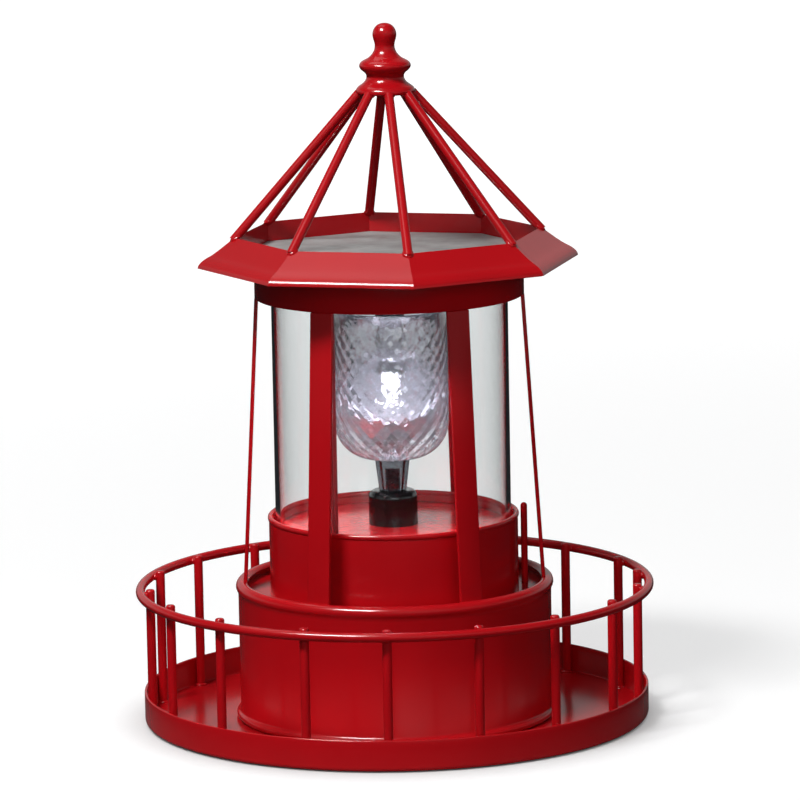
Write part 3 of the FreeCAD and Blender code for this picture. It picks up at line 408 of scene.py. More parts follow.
# A weld bead's three sizes are radial, across and tall. Leans are in degrees.
weld = {"rail": (1.1, 1.9, 1.3), "foot": (2.2, 2.2, 0.75), "footHeight": 1.45,
        "roof": (2.3, 2.0, 1.0), "roofSink": 0.1, "roofLean": 32,
        "collar": (1.4, 2.3, 1.2), "collarRadius": 8.3, "collarLift": 0.4, "collarLean": 40,
        "uneven": 0.10}


def makeBead(size, place, seed, lean):
    # A run of melted metal under the enamel: a squashed ball made a little uneven.
    deselect()
    bpy.ops.mesh.primitive_uv_sphere_add(segments=18, ring_count=10, radius=mm)
    bpy.ops.object.mode_set(mode="EDIT")
    bpy.ops.transform.vertex_random(offset=weld["uneven"] * mm, seed=seed)
    bpy.ops.mesh.vertices_smooth(factor=0.5, repeat=2)
    bpy.ops.object.mode_set(mode="OBJECT")
    bead = bpy.context.object
    radial, across, tall = size
    bead.data.transform(Matrix.Translation(Vector(place) * mm)
                        @ Matrix.Rotation(math.radians(lean), 4, "X")
                        @ Matrix.Diagonal((across, radial, tall, 1.0)))
    return bead


def weldAround(name, kinds, azimuths, firstSeed):
    # One bead of each kind, (size, place, lean), at every azimuth.
    beads = []
    for number, azimuth in enumerate(azimuths):
        for size, place, lean in kinds:
            first = makeBead(size, place, number + firstSeed, lean)
            beads.append(turnedCopy(first, azimuth))
            bpy.data.objects.remove(first)
    finishPiece(joined(beads), name, "lighthouse", redEnamel)


railLow, railHigh = boxMm("gallery_rail")
weldAround("galleryWelds", (
    (weld["rail"], (0, -gallery["circle"] - gallery["wire"] / 2,
                    (railLow.z + railHigh.z) / 2), 0),
    (weld["foot"], (0, -gallery["circle"], weld["footHeight"]), 0)), galleryAzimuths, 1)
print("gallery made")


# Lower drum: a rolled bead at its foot and a rolled hem that stands above the deck.
lowerDrum = {"wall": 51.1, "gauge": 0.9, "foot": 1.3, "footReach": 0.5, "beadReach": 0.1,
             "beadHeight": 1.25, "beadRadius": 1.2, "beadTop": 3.2, "hemRadius": 2.1,
             "hemReach": 0.75, "hemFoot": 4.9, "hemInside": 4.0, "plainFrom": 12.0}
wall, foot, top = lowerDrum["wall"], lowerDrum["foot"], boxMm("lower_drum")[1].z
bore, plainTop = wall - lowerDrum["gauge"], top - lowerDrum["plainFrom"]
hemCentre = (wall + lowerDrum["hemReach"] - lowerDrum["hemRadius"], top - lowerDrum["hemRadius"])
drumProfile = (
    [(bore, foot), (wall + lowerDrum["footReach"], foot)]
    + arcPoints((wall + lowerDrum["beadReach"], foot + lowerDrum["beadHeight"]),
                lowerDrum["beadRadius"], -60, 75, 8)
    + [(wall, foot + lowerDrum["beadTop"]), (wall, plainTop), (wall, top - lowerDrum["hemFoot"])]
    + arcPoints(hemCentre, lowerDrum["hemRadius"], -42, 150, 16)
    + [(bore, top - lowerDrum["hemInside"]), (bore, plainTop)])
drum = turned(drumProfile, sides=180)
finishPiece(drum, "drumWall", "lighthouse", redEnamel, ["lower_drum"], 60)
dress("drum_deck", redEnamel)
print("lower drum made")


# Upper drum: its rim is folded out and in, and a ledge inside carries the lamp plate.
upperDrum = {"wall": 40.6, "gauge": 0.9, "top": 67.9, "rimHeight": 1.8, "rimReach": 0.35,
             "rimBend": 0.8, "bendLift": 0.75, "rimStart": 0.4, "ledge": 2.6, "plainTo": 12.0}
foot, plateFoot = boxMm("upper_drum")[0].z, boxMm("lamp_plate")[0].z
wall, gauge, top, rimBend = [upperDrum[key] for key in ("wall", "gauge", "top", "rimBend")]
bore = wall - gauge
ledge = bore - upperDrum["ledge"]
rimOut, rimIn = wall + upperDrum["rimReach"] - rimBend, bore - upperDrum["rimReach"] + rimBend
rimStart = top - upperDrum["rimHeight"] - upperDrum["rimStart"]
bendLow = top - upperDrum["rimHeight"] + upperDrum["bendLift"]
drum = turned(
    [(bore, foot), (wall, foot), (wall, foot + upperDrum["plainTo"]), (wall, rimStart)]
    + arcPoints((rimOut, bendLow), rimBend, -60, 0, 4)
    + arcPoints((rimOut, top - rimBend), rimBend, 0, 90, 5)
    + arcPoints((rimIn, top - rimBend), rimBend, 90, 180, 5)
    + arcPoints((rimIn, bendLow), rimBend, 180, 240, 4)
    + [(bore, rimStart), (bore, plateFoot), (ledge, plateFoot), (ledge, plateFoot - gauge),
       (bore, plateFoot - gauge)], sides=160)
finishPiece(drum, "upperDrumWall", "lighthouse", redEnamel, ["upper_drum"], 50)
dress("lamp_plate", redEnamel)
print("upper drum made")


# Window posts: the CAD's flat strips with their sheared edges rounded.
posts = {"count": 6, "edge": 0.28}
for number in range(1, posts["count"] + 1):
    node = "window_post_%d" % number
    post = copyOfNode(node)
    softenEdges(post, posts["edge"])
    finishPiece(post, "postStrip%d" % number, "lighthouse", redEnamel, [node])

# Ring band: a hoop of sheet that ties the tops of the posts together.
band = {"gauge": 0.9, "edge": 0.35}
low, high = boxMm("roof_ring_band")
ring = turned([(high.x - band["gauge"], low.z), (high.x, low.z), (high.x, high.z),
               (high.x - band["gauge"], high.z)], sides=160)
softenEdges(ring, band["edge"], 4)
finishPiece(ring, "ringBand", "lighthouse", redEnamel, ["roof_ring_band"], 50)
dress("roof_plate", redEnamel)
print("posts and band made")


# Roof pressing: an upright inner wall round the opening, then facet, brim, nose and lip, each
# given by how far out and how far down it goes.
roof = {"turn": 7.1, "sides": 8, "gauge": 0.9, "opening": 46.2, "flangeFoot": 153.45,
        "level": 159.9, "facet": (6.2, 5.1), "brim": (3.1, 1.7), "nose": (1.6, 1.6),
        "lip": (0.3, 1.2), "bendReach": 0.48, "lipReach": 0.5, "edge": 0.3, "bevelAngle": 16,
        "smoothAngle": 14}
innerEdge = (roof["opening"], roof["level"])
corners = [innerEdge]
for stretch in ("facet", "brim", "nose", "lip"):
    out, down = roof[stretch]
    corners.append((corners[-1][0] + out, corners[-1][1] - down))
facetEnd, brimEnd, noseEnd, lipEnd = corners[1:]


def bent(before, corner, after, steps, reach):
    # A soft bend between two flats, as a quadratic curve through the pressed sheet's corner.
    start = [c + (b - c) * reach for b, c in zip(before, corner)]
    end = [c + (a - c) * reach for a, c in zip(after, corner)]
    return [tuple(s * (1 - t) ** 2 + c * 2 * t * (1 - t) + e * t * t
                  for s, c, e in zip(start, corner, end))
            for t in [i / steps for i in range(steps + 1)]]


roofProfile = ([(roof["opening"], roof["flangeFoot"]), innerEdge]
               + bent(innerEdge, facetEnd, brimEnd, 6, roof["bendReach"])
               + bent(facetEnd, brimEnd, noseEnd, 4, roof["bendReach"])
               + bent(brimEnd, noseEnd, lipEnd, 4, roof["lipReach"]) + [lipEnd])
skirt = turned(roofProfile, sides=roof["sides"], turn=roof["turn"], closed=False)
applyModifier(skirt, "SOLIDIFY", thickness=roof["gauge"] * mm, offset=-1, use_even_offset=True)
softenEdges(skirt, roof["edge"], 3, roof["bevelAngle"])
finishPiece(skirt, "roofPressing", "lighthouse", redEnamel, ["roof_skirt"],
            roof["smoothAngle"], facets=True)
print("roof pressing made")


# Finial and collar: one turned piece, as (radius, height above its foot).
finial = {"sides": 72, "smoothAngle": 60, "profile": (
    (0.0, 0.0), (8.8, 0.0), (9.4, 0.3), (9.65, 0.9), (9.5, 1.7), (8.8, 2.5), (7.7, 3.2),
    (6.8, 3.9), (6.2, 4.8), (6.0, 5.7), (6.2, 6.5), (6.9, 7.2), (7.8, 7.8), (8.3, 8.6),
    (8.4, 9.3), (8.15, 10.0), (7.4, 10.7), (6.3, 11.2), (5.2, 11.8), (4.3, 12.7), (3.6, 13.7),
    (3.25, 14.8), (3.15, 15.7), (3.3, 16.6), (3.6, 17.5), (3.85, 18.5), (3.9, 19.3),
    (3.78, 20.2), (3.4, 21.1), (2.85, 21.85), (2.0, 22.5), (1.0, 22.82), (0.0, 22.9))}
foot = boxMm("wire_collar")[0].z
crown = turned([(radius, foot + height) for radius, height in finial["profile"]],
               sides=finial["sides"], closed=False)
applyModifier(crown, "SUBSURF", levels=1, render_levels=1)
finishPiece(crown, "turnedFinial", "lighthouse", redEnamel,
            ["wire_collar", "finial"], finial["smoothAngle"])
dress("roof_wires", redEnamel)

# Each roof wire is welded at a corner of the roof's opening and under the collar.
cornerRadius = (roof["opening"] - roof["gauge"] / 2) / math.cos(math.pi / roof["sides"])
roofAzimuths = [roof["turn"] + 360 / roof["sides"] * number for number in range(roof["sides"])]
weldAround("roofWelds", (
    (weld["roof"], (0, -cornerRadius, roof["level"] - weld["roofSink"]), weld["roofLean"]),
    (weld["collar"], (0, -weld["collarRadius"], foot + weld["collarLift"]),
     weld["collarLean"])), roofAzimuths, 20)
print("finial made")


# Lap seams at the backs of the drums and the band: wall radius, lower and upper end, azimuth.
seam = {"wide": 7.0, "thick": 0.35, "steps": 8, "edge": 0.15,
        "laps": {"lowerDrumSeam": (51.1, 4.6, 41.6, 178),
                 "upperDrumSeam": (40.6, 43.1, 65.9, 181),
                 "ringBandSeam": (43.7, 140.0, 149.9, 177)}}


def makeSeam(name, wall, low, high, azimuth):
    # The sheet's outer end, lapped over the inner one.
    deselect()
    bpy.ops.mesh.primitive_plane_add(size=1)
    strip = bpy.context.object
    bpy.ops.object.mode_set(mode="EDIT")
    bpy.ops.mesh.subdivide(number_cuts=seam["steps"])
    bpy.ops.object.mode_set(mode="OBJECT")
    for vertex in strip.data.vertices:
        angle = math.radians(azimuth) + vertex.co.x * seam["wide"] / wall
        vertex.co = Vector((wall * math.sin(angle), -wall * math.cos(angle),
                            low + (vertex.co.y + 0.5) * (high - low))) * mm
    pick(strip)
    bpy.ops.object.mode_set(mode="EDIT")
    bpy.ops.mesh.select_all(action="SELECT")
    bpy.ops.mesh.normals_make_consistent(inside=False)
    bpy.ops.object.mode_set(mode="OBJECT")
    applyModifier(strip, "SOLIDIFY", thickness=2 * seam["thick"] * mm, offset=0)
    softenEdges(strip, seam["edge"], 2)
    finishPiece(strip, name, "lighthouse", redEnamel)


for name, lap in seam["laps"].items():
    makeSeam(name, *lap)
print("seams made")


solar = {"cell": "1C2434", "edge": "10141E", "crystalMm": 7.0, "rough": 0.25,
         "finger": "666D78", "fingerMm": 2.4, "fingerShare": 0.07, "barMm": 17.0,
         "barShare": 0.05}


def makeSolarCells():
    # Dark silicon under resin, with fine printed fingers crossed by a few wider bars.
    material, tree = newMaterial("siliconCells")
    place = addNode(tree, "ShaderNodeTexCoord")
    parts = addNode(tree, "ShaderNodeSeparateXYZ", links={0: place.outputs["Object"]})
    masks = []
    for axis, pitch, share in ((0, solar["fingerMm"], solar["fingerShare"]),
                               (1, solar["barMm"], solar["barShare"])):
        scaled = addNode(tree, "ShaderNodeMath", {"operation": "MULTIPLY"},
                         {1: 1 / (pitch * mm)}, {0: parts.outputs[axis]})
        wave = addNode(tree, "ShaderNodeMath", {"operation": "PINGPONG"}, {1: 0.5},
                       {0: scaled.outputs[0]})
        masks.append(addNode(tree, "ShaderNodeMath", {"operation": "LESS_THAN"}, {1: share},
                             {0: wave.outputs[0]}))
    lines = addNode(tree, "ShaderNodeMath", {"operation": "MAXIMUM"},
                    links={0: masks[0].outputs[0], 1: masks[1].outputs[0]})
    crystal = addNode(tree, "ShaderNodeTexVoronoi",
                      values={"Scale": 1 / (solar["crystalMm"] * mm)},
                      links={"Vector": place.outputs["Object"]})
    cell = addNode(tree, "ShaderNodeMix", {"data_type": "RGBA"},
                   {"A": toLinear(solar["cell"]), "B": toLinear(solar["edge"])},
                   {"Factor": crystal.outputs["Distance"]})
    colour = addNode(tree, "ShaderNodeMix", {"data_type": "RGBA"},
                     {"B": toLinear(solar["finger"])},
                     {"Factor": lines.outputs[0], "A": cell.outputs["Result"]})
    body = addNode(tree, "ShaderNodeBsdfPrincipled", values={"Roughness": solar["rough"]},
                   links={"Base Color": colour.outputs["Result"]})
    addNode(tree, "ShaderNodeOutputMaterial", links={"Surface": body.outputs[0]})
    return material


# The pale grey, its roughness, the facing range and the patches make a painted reflection on the
# cover, seen edge on.
cover = {"tint": "EEF2EE", "shade": "D8DCD8", "rough": 0.14, "ior": 1.55, "sheenGrey": "A6A6A5",
         "sheenGreyRough": 0.6, "sheenGreySpecular": 0.2, "from": 0.5, "to": 0.78, "least": 0.02,
         "most": 0.93, "cloudMm": 9.0, "cloudFrom": 0.3, "cloudTo": 0.7, "faintestSheen": 0.8,
         "strongestSheen": 1.1}


def makeSheenedCover():
    # Satin resin over the cells. Where it is seen edge on, a pale grey in soft patches is mixed
    # over it: a painted reflection of the white backdrop.
    material, tree = newMaterial("satinResin")
    resin = addNode(tree, "ShaderNodeBsdfPrincipled", values={
        "Base Color": toLinear(cover["tint"]), "Transmission Weight": 1.0,
        "Roughness": cover["rough"], "IOR": cover["ior"]})
    place = addNode(tree, "ShaderNodeTexCoord")
    cloud = addNode(tree, "ShaderNodeTexNoise",
                    values={"Scale": 1 / (cover["cloudMm"] * mm), "Detail": 3.0},
                    links={"Vector": place.outputs["Object"]})
    facing = addNode(tree, "ShaderNodeLayerWeight", values={"Blend": 0.5})
    edge = addNode(tree, "ShaderNodeMapRange",
                   values={"From Min": cover["from"], "From Max": cover["to"],
                           "To Min": cover["least"], "To Max": cover["most"]},
                   links={"Value": facing.outputs["Facing"]})
    patchy = addNode(tree, "ShaderNodeMapRange",
                     values={"From Min": cover["cloudFrom"], "From Max": cover["cloudTo"],
                             "To Min": cover["faintestSheen"], "To Max": cover["strongestSheen"]},
                     links={"Value": cloud.outputs["Fac"]})
    sheenAmount = addNode(tree, "ShaderNodeMath", {"operation": "MULTIPLY", "use_clamp": True},
                     links={0: edge.outputs[0], 1: patchy.outputs[0]})
    # The pale grey painted reflection, mixed in where the cover is seen edge on.
    sheenGrey = addNode(tree, "ShaderNodeBsdfPrincipled", values={
        "Base Color": toLinear(cover["sheenGrey"]), "Roughness": cover["sheenGreyRough"],
        "Specular IOR Level": cover["sheenGreySpecular"]})
    resinWithSheen = addNode(tree, "ShaderNodeMixShader", links={
        0: sheenAmount.outputs[0], 1: resin.outputs[0], 2: sheenGrey.outputs[0]})
    letLampsThrough(tree, resinWithSheen, cover["shade"])
    return material


dress("panel_housing", blackGloss)
dress("solar_cells", makeSolarCells())
dress("panel_cover", makeSheenedCover())
print("panel dressed")


# The goblet's own shape comes first, then its prisms and crackle, then where it is milky. Its
# bowl and the globe take the same plastic, crackled and milky to other degrees.
goblet = {"outer": 18.7, "wall": 1.8, "bend": 12.4, "sideFrom": 26.0, "lipStart": 8.0,
          "lipRound": 0.6, "lipOut": 0.5, "lipIn": 1.3, "shoulder": (2.2, 3.5),
          "centre": 22.4, "bowlRadius": 15.4, "bowlEnd": 8.0, "stemTop": (3.2, 15.5),
          "stemFoot": (3.1, 1.2), "around": 26, "riseMm": 5.0, "prism": 0.32, "plainFrom": 127.0,
          "plainTo": 131.5, "chipMm": 2.4, "chip": 0.22, "chipStrength": 0.7,
          "tint": "D3D3D7", "rough": 0.03, "ior": 1.59, "frost": "EFEFF4", "frostRough": 0.2,
          "milk": 0.05, "bowlMilk": 0.09, "bowlTop": 110.0, "bowlFoot": 98.0,
          "limb": 0.0, "limbFrom": 0.35, "limbTo": 0.9}
bowl = {"around": 18, "prism": 0.0, "chip": 0.3, "milk": 0.05, "bowlMilk": 0.05, "limb": 0.95,
        "top": -1.5, "foot": 14.2, "within": 0.3}
globe = {"around": 18, "prism": 0.0, "chip": 0.55, "milk": 0.10, "bowlMilk": 0.10,
         "limb": 0.22}


def makePrismatic(name, look):
    # Moulded styrene with shallow crossed prisms and fine crackle. It is slightly milky, which
    # shows most down in its bowl and where the wall is seen edge on.
    material, tree = newMaterial(name)
    place = addNode(tree, "ShaderNodeTexCoord")
    parts = addNode(tree, "ShaderNodeSeparateXYZ", links={0: place.outputs["Object"]})
    angle = addNode(tree, "ShaderNodeMath", {"operation": "ARCTAN2"},
                    links={0: parts.outputs["Y"], 1: parts.outputs["X"]})
    turns = addNode(tree, "ShaderNodeMath", {"operation": "MULTIPLY"},
                    {1: look["around"] / (2 * math.pi)}, {0: angle.outputs[0]})
    rise = addNode(tree, "ShaderNodeMath", {"operation": "MULTIPLY"},
                   {1: 1 / (goblet["riseMm"] * mm)}, {0: parts.outputs["Z"]})
    ridges = []
    for operation in ("ADD", "SUBTRACT"):
        slant = addNode(tree, "ShaderNodeMath", {"operation": operation},
                        links={0: turns.outputs[0], 1: rise.outputs[0]})
        ridges.append(addNode(tree, "ShaderNodeMath", {"operation": "PINGPONG"}, {1: 0.5},
                              {0: slant.outputs[0]}))
    prism = addNode(tree, "ShaderNodeMath", {"operation": "ADD"},
                    links={0: ridges[0].outputs[0], 1: ridges[1].outputs[0]})
    chips = addNode(tree, "ShaderNodeTexVoronoi",
                    values={"Scale": 1 / (goblet["chipMm"] * mm)},
                    links={"Vector": place.outputs["Object"]})
    fade = addNode(tree, "ShaderNodeMapRange", {"interpolation_type": "SMOOTHSTEP"},
                   {"From Min": goblet["plainFrom"] * mm, "From Max": goblet["plainTo"] * mm,
                    "To Min": 1.0, "To Max": 0.0}, {"Value": parts.outputs["Z"]})
    raised = addNode(tree, "ShaderNodeMath", {"operation": "MULTIPLY"},
                     links={0: prism.outputs[0], 1: fade.outputs[0]})
    coarse = addNode(tree, "ShaderNodeBump", values={"Distance": look["prism"] * mm},
                     links={"Height": raised.outputs[0]})
    fine = addNode(tree, "ShaderNodeBump",
                   values={"Strength": goblet["chipStrength"], "Distance": look["chip"] * mm},
                   links={"Height": chips.outputs["Distance"], "Normal": coarse.outputs[0]})
    clear = addNode(tree, "ShaderNodeBsdfPrincipled",
                    values={"Base Color": toLinear(goblet["tint"]), "Transmission Weight": 1.0,
                            "Roughness": goblet["rough"], "IOR": goblet["ior"]},
                    links={"Normal": fine.outputs[0]})
    cloudy = addNode(tree, "ShaderNodeBsdfPrincipled",
                     values={"Base Color": toLinear(goblet["frost"]),
                             "Roughness": goblet["frostRough"]},
                     links={"Normal": fine.outputs[0]})
    cloud = addNode(tree, "ShaderNodeMapRange", {"interpolation_type": "SMOOTHSTEP"},
                    {"From Min": goblet["bowlFoot"] * mm, "From Max": goblet["bowlTop"] * mm,
                     "To Min": look["bowlMilk"], "To Max": look["milk"]},
                    {"Value": parts.outputs["Z"]})
    facing = addNode(tree, "ShaderNodeLayerWeight", values={"Blend": 0.5})
    rim = addNode(tree, "ShaderNodeMapRange", {"interpolation_type": "SMOOTHSTEP"},
                  {"From Min": goblet["limbFrom"], "From Max": goblet["limbTo"],
                   "To Min": 0.0, "To Max": look["limb"]}, {"Value": facing.outputs["Facing"]})
    milkiness = addNode(tree, "ShaderNodeMath", {"operation": "MAXIMUM"},
                        links={0: cloud.outputs[0], 1: rim.outputs[0]})
    body = addNode(tree, "ShaderNodeMixShader", links={
        0: milkiness.outputs[0], 1: clear.outputs[0], 2: cloudy.outputs[0]})
    letLampsThrough(tree, body, goblet["tint"])
    return material


dress("clear_tube", clearTubePlastic)
dress("lamp_hub", navyPlastic)
dress("lamp_stem", makeClear("stemTube", "F6F6F8", 0.02, 1.5))
dress("lamp_board", boardGreen)
dress("led", lensResin)
dress("panel_leads", leadRed)
dress("lead_grommet", blackRubber)
dress("bearing_cap", blackGloss)
dress("beacon_stem", smokePlastic)

# The goblet's outside from its foot to its lip, then down inside and round the bowl.
low, high = boxMm("goblet")
globeCentre, bowlRadius = low.z + goblet["centre"], goblet["bowlRadius"]
outer, bend = goblet["outer"], goblet["bend"]
inner, lipStart = outer - goblet["wall"], high.z - goblet["lipStart"]
lipEdge = high.z - goblet["lipRound"]
stemTop, stemFoot = goblet["stemTop"], goblet["stemFoot"]
gobletProfile = (
    [(0.0, low.z), (outer - bend, low.z)]
    + arcPoints((outer - bend, low.z + bend), bend, -90, 0, 14)
    + [(outer, low.z + goblet["sideFrom"]), (outer, lipStart), (outer, lipEdge),
       (outer - goblet["lipOut"], high.z), (outer - goblet["lipIn"], high.z),
       (inner, lipEdge), (inner, lipStart), (inner, globeCentre + goblet["bowlEnd"]),
       (outer - goblet["shoulder"][0], globeCentre + goblet["shoulder"][1])]
    + arcPoints((0.0, globeCentre), bowlRadius, -6, -76, 12)
    + [(stemTop[0], globeCentre - stemTop[1]), (stemFoot[0], low.z + stemFoot[1]),
       (0.0, low.z + stemFoot[1])])
beaconGoblet = turned(gobletProfile, sides=96, closed=False)
finishPiece(beaconGoblet, "beaconGoblet", "beacon", makePrismatic("prismStyrene", goblet),
            ["goblet"], 40)
beaconGoblet.data.materials.append(makePrismatic("frostedBowl", bowl))
for face in beaconGoblet.data.polygons:
    centre = face.center / mm
    below = globeCentre - centre.z
    fromGlobe = Vector((centre.x, centre.y, below)).length
    if (bowl["top"] < below < bowl["foot"]
            and abs(fromGlobe - bowlRadius) < bowl["within"]):
        face.material_index = 1
dress("reflector_globe", makePrismatic("crackledStyrene", globe))

# The lamp's own light, from inside its lens.
glow = {"power": 0.046, "colour": "F9F7FE", "radius": 2.0, "height": 103.5}
glowData = bpy.data.lights.new("ledGlow", "POINT")
glowData.energy, glowData.shadow_soft_size = glow["power"], glow["radius"] * mm
glowData.color = toLinear(glow["colour"])[:3]
glowObject = bpy.data.objects.new("ledGlow", glowData)
bpy.context.scene.collection.objects.link(glowObject)
glowObject.location = (0, 0, glow["height"] * mm)
print("lantern dressed")


# The works inside the drums, and the underside.
for names, material in (
        (("upper_bush", "lower_bush", "motor_pinion", "gear_pillars"), turnedBrass),
        (("spindle", "motor_shaft", "gear_plate", "motor", "cover_seat", "cover_screws",
          "battery_contacts"), turnedSteel),
        (("spindle_gear", "bottom_cover", "battery_door", "battery_holder",
          "board_components", "switch_body"), blackPlastic),
        (("circuit_board",), boardGreen), (("battery_cell",), batteryWrap),
        (("rubber_feet",), blackRubber), (("switch_rod",), redEnamel)):
    for node in names:
        dress(node, material)
print("works dressed")


# The floor's size is in metres, and its pool, glow and contact shadow reach by millimetres.
floorLook = {"floor": "EDEDEB", "dark": "2A2A2C", "size": 8.0, "pale": 0.42, "glow": 0.64,
             "farGlow": 1.0, "glowFrom": 200.0, "glowTo": 1800.0, "poolIn": 30.0,
             "poolOut": 125.0, "mirrorPool": 0.25, "contactMm": 16.0, "contactSamples": 8}


def raySeen(tree, kinds):
    # One for the kinds of ray named, zero for the others.
    path = addNode(tree, "ShaderNodeLightPath")
    seen = path.outputs[kinds[0]]
    for kind in kinds[1:]:
        seen = addNode(tree, "ShaderNodeMath", {"operation": "MAXIMUM"},
                       links={0: seen, 1: path.outputs[kind]}).outputs[0]
    return seen


def makeFloor():
    # A plain white sweep. Around the object's pool of light the room that gloss mirrors is dim.
    material, tree = newMaterial("whiteSweep")
    place = addNode(tree, "ShaderNodeTexCoord")
    reach = addNode(tree, "ShaderNodeVectorMath", {"operation": "LENGTH"},
                    links={0: place.outputs["Object"]})
    pool = addNode(tree, "ShaderNodeMapRange", {"interpolation_type": "SMOOTHSTEP"},
                   {"From Min": floorLook["poolIn"] * mm, "From Max": floorLook["poolOut"] * mm,
                    "To Min": 1.0, "To Max": 0.0}, {"Value": reach.outputs["Value"]})
    through = addNode(tree, "ShaderNodeMath", {"operation": "SUBTRACT", "use_clamp": True},
                      links={0: raySeen(tree, ["Is Transmission Ray"]),
                             1: raySeen(tree, ["Glossy Depth"])})
    seen = addNode(tree, "ShaderNodeMath", {"operation": "MAXIMUM"},
                   links={0: through.outputs[0], 1: raySeen(tree, ["Is Camera Ray"])})
    dimmed = addNode(tree, "ShaderNodeMapRange",
                     values={"To Min": 1.0, "To Max": floorLook["mirrorPool"]},
                     links={"Value": raySeen(tree, ["Is Glossy Ray"])})
    mirrored = addNode(tree, "ShaderNodeMath", {"operation": "MULTIPLY"},
                       links={0: pool.outputs[0], 1: dimmed.outputs[0]})
    near = addNode(tree, "ShaderNodeMath", {"operation": "MAXIMUM"},
                   links={0: mirrored.outputs[0], 1: seen.outputs[0]})
    contact = addNode(tree, "ShaderNodeAmbientOcclusion",
                      {"samples": floorLook["contactSamples"]},
                      {"Distance": floorLook["contactMm"] * mm})
    further = addNode(tree, "ShaderNodeMapRange", {"interpolation_type": "SMOOTHSTEP"},
                      {"From Min": floorLook["glowFrom"] * mm,
                       "From Max": floorLook["glowTo"] * mm, "To Min": floorLook["glow"],
                       "To Max": floorLook["farGlow"]}, {"Value": reach.outputs["Value"]})
    glowing = addNode(tree, "ShaderNodeMath", {"operation": "MULTIPLY"},
                      links={0: contact.outputs["AO"], 1: further.outputs[0]})
    direct = raySeen(tree, ["Is Camera Ray", "Is Glossy Ray", "Is Transmission Ray"])
    strength = addNode(tree, "ShaderNodeMath", {"operation": "MULTIPLY"},
                       links={0: glowing.outputs[0], 1: direct})
    shining = addNode(tree, "ShaderNodeEmission", values={"Color": toLinear("FFFFFF")},
                      links={"Strength": strength.outputs[0]})
    albedo = addNode(tree, "ShaderNodeMix", {"data_type": "RGBA"},
                     {"A": toLinear(floorLook["floor"]),
                      "B": [floorLook["pale"]] * 3 + [1.0]}, {"Factor": direct})
    pale = addNode(tree, "ShaderNodeBsdfDiffuse", links={"Color": albedo.outputs["Result"]})
    lit = addNode(tree, "ShaderNodeAddShader",
                  links={0: pale.outputs[0], 1: shining.outputs[0]})
    dark = addNode(tree, "ShaderNodeBsdfDiffuse",
                   values={"Color": toLinear(floorLook["dark"])})
    mixed = addNode(tree, "ShaderNodeMixShader", links={
        0: near.outputs[0], 1: dark.outputs[0], 2: lit.outputs[0]})
    addNode(tree, "ShaderNodeOutputMaterial", links={"Surface": mixed.outputs[0]})
    return material


deselect()
bpy.ops.mesh.primitive_plane_add(size=floorLook["size"], location=(0, 0, 0))
floor = bpy.context.object
floor.name = "floor"
floor.data.materials.append(makeFloor())


room = {"ambient": 0.10, "ambientTint": "F8FAFF", "bandTop": 0.30, "bandEnd": 0.47,
        "front": 0.12, "back": 0.42, "frontEnd": -0.25, "backStart": 0.35, "patchScale": 1.7,
        "patchFrom": 0.45, "patchTo": 0.7, "dome": 0.10, "dimPatch": 0.5, "brightPatch": 3}


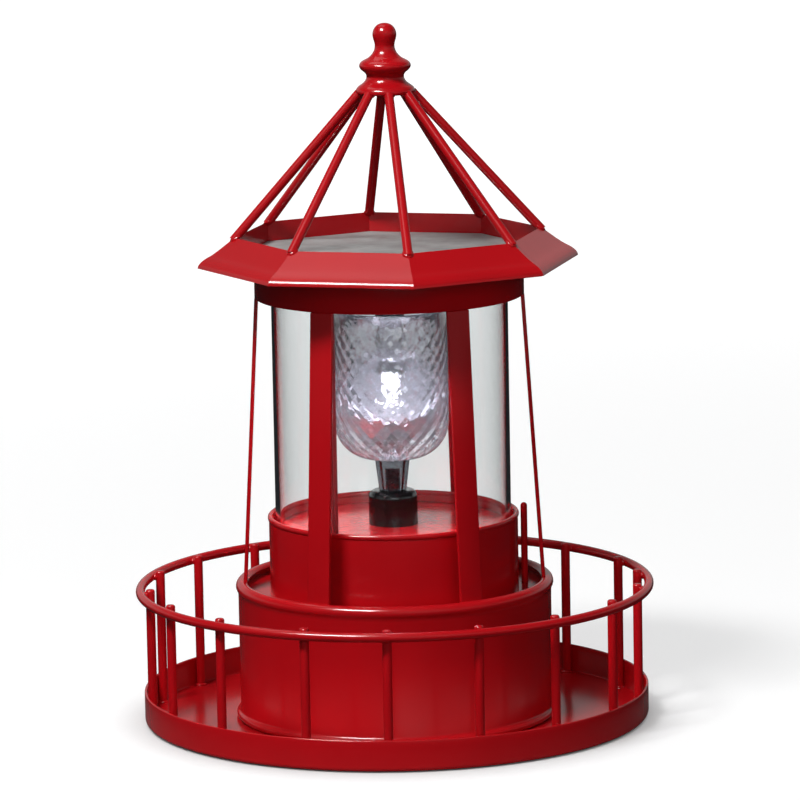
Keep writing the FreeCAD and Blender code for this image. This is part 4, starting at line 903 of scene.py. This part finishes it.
def makeWorld():
    # White behind the object. Gloss and glass see that backdrop white to well over the horizon,
    # and round it a dim room with soft patches.
    world = bpy.data.worlds.new("studio")
    bpy.context.scene.world = world
    world.use_nodes = True
    tree = world.node_tree
    tree.nodes.clear()
    way = addNode(tree, "ShaderNodeTexCoord")
    parts = addNode(tree, "ShaderNodeSeparateXYZ", links={0: way.outputs["Generated"]})
    whiteBand = addNode(tree, "ShaderNodeMapRange", {"interpolation_type": "SMOOTHSTEP"},
                        {"From Min": room["bandTop"], "From Max": room["bandEnd"],
                         "To Min": 1.0, "To Max": 0.0}, {"Value": parts.outputs["Z"]})
    behind = addNode(tree, "ShaderNodeMapRange", {"interpolation_type": "SMOOTHSTEP"},
                     {"From Min": room["frontEnd"], "From Max": room["backStart"],
                      "To Min": room["front"], "To Max": room["back"]},
                     {"Value": parts.outputs["Y"]})
    through = addNode(tree, "ShaderNodeMath", {"operation": "MAXIMUM"},
                      links={0: raySeen(tree, ["Is Transmission Ray"]), 1: behind.outputs[0]})
    backdrop = addNode(tree, "ShaderNodeMath", {"operation": "MULTIPLY"},
                       links={0: whiteBand.outputs[0], 1: through.outputs[0]})
    patches = addNode(tree, "ShaderNodeTexNoise",
                      values={"Scale": room["patchScale"], "Detail": 1.0},
                      links={"Vector": way.outputs["Generated"]})
    ceiling = addNode(tree, "ShaderNodeMapRange",
                      values={"From Min": room["patchFrom"], "From Max": room["patchTo"],
                              "To Min": room["dome"] * room["dimPatch"],
                              "To Max": room["dome"] * room["brightPatch"]},
                      links={"Value": patches.outputs["Fac"]})
    mirrored = addNode(tree, "ShaderNodeMath", {"operation": "MAXIMUM"},
                       links={0: backdrop.outputs[0], 1: ceiling.outputs[0]})
    ambient = addNode(tree, "ShaderNodeBackground", values={
        "Color": toLinear(room["ambientTint"]), "Strength": room["ambient"]})
    dimRoom = addNode(tree, "ShaderNodeBackground", values={"Color": toLinear("FFFFFF")},
                      links={"Strength": mirrored.outputs[0]})
    white = addNode(tree, "ShaderNodeBackground", values={
        "Color": toLinear("FFFFFF"), "Strength": 1.0})
    reflected = addNode(tree, "ShaderNodeMixShader", links={
        0: raySeen(tree, ["Is Glossy Ray", "Is Transmission Ray"]), 1: ambient.outputs[0],
        2: dimRoom.outputs[0]})
    mixed = addNode(tree, "ShaderNodeMixShader", links={
        0: raySeen(tree, ["Is Camera Ray"]), 1: reflected.outputs[0], 2: white.outputs[0]})
    addNode(tree, "ShaderNodeOutputWorld", links={"Surface": mixed.outputs[0]})


makeWorld()

# Soft lamps, in metres and watts. The sparkle stands at the key's place and shows by gloss
# alone, and the fill and the one behind don't show in gloss.
lampAim = (0, 0, 0.1)
lamps = {"key": {"place": (-0.76, -0.97, 1.676), "size": (0.6, 0.32), "power": 35.0},
         "sparkle": {"place": (-0.76, -0.97, 1.676), "size": (0.8, 0.42), "power": 75.0,
                     "mirrored": "only"},
         "overhead": {"place": (-0.38, 0.40, 1.62), "size": (0.7, 1.1), "power": 3.6},
         "fill": {"place": (0.5, -2.0, 0.62), "size": (1.6, 0.9), "power": 10.0,
                  "mirrored": False},
         "behind": {"place": (-0.8, 1.7, 0.9), "size": (1.4, 1.0), "power": 3.0,
                    "mirrored": False}}
for name, lamp in lamps.items():
    data = bpy.data.lights.new(name, "AREA")
    data.shape, data.energy = "RECTANGLE", lamp["power"]
    data.size, data.size_y = lamp["size"]
    holder = bpy.data.objects.new(name, data)
    bpy.context.scene.collection.objects.link(holder)
    holder.location = lamp["place"]
    holder.visible_glossy = bool(lamp.get("mirrored", True))
    holder.visible_diffuse = holder.visible_transmission = lamp.get("mirrored") != "only"
    holder.rotation_euler = (Vector(lampAim) - Vector(lamp["place"])).to_track_quat(
        "-Z", "Y").to_euler()
bpy.context.scene.view_settings.view_transform = "Standard"
print("stage set")
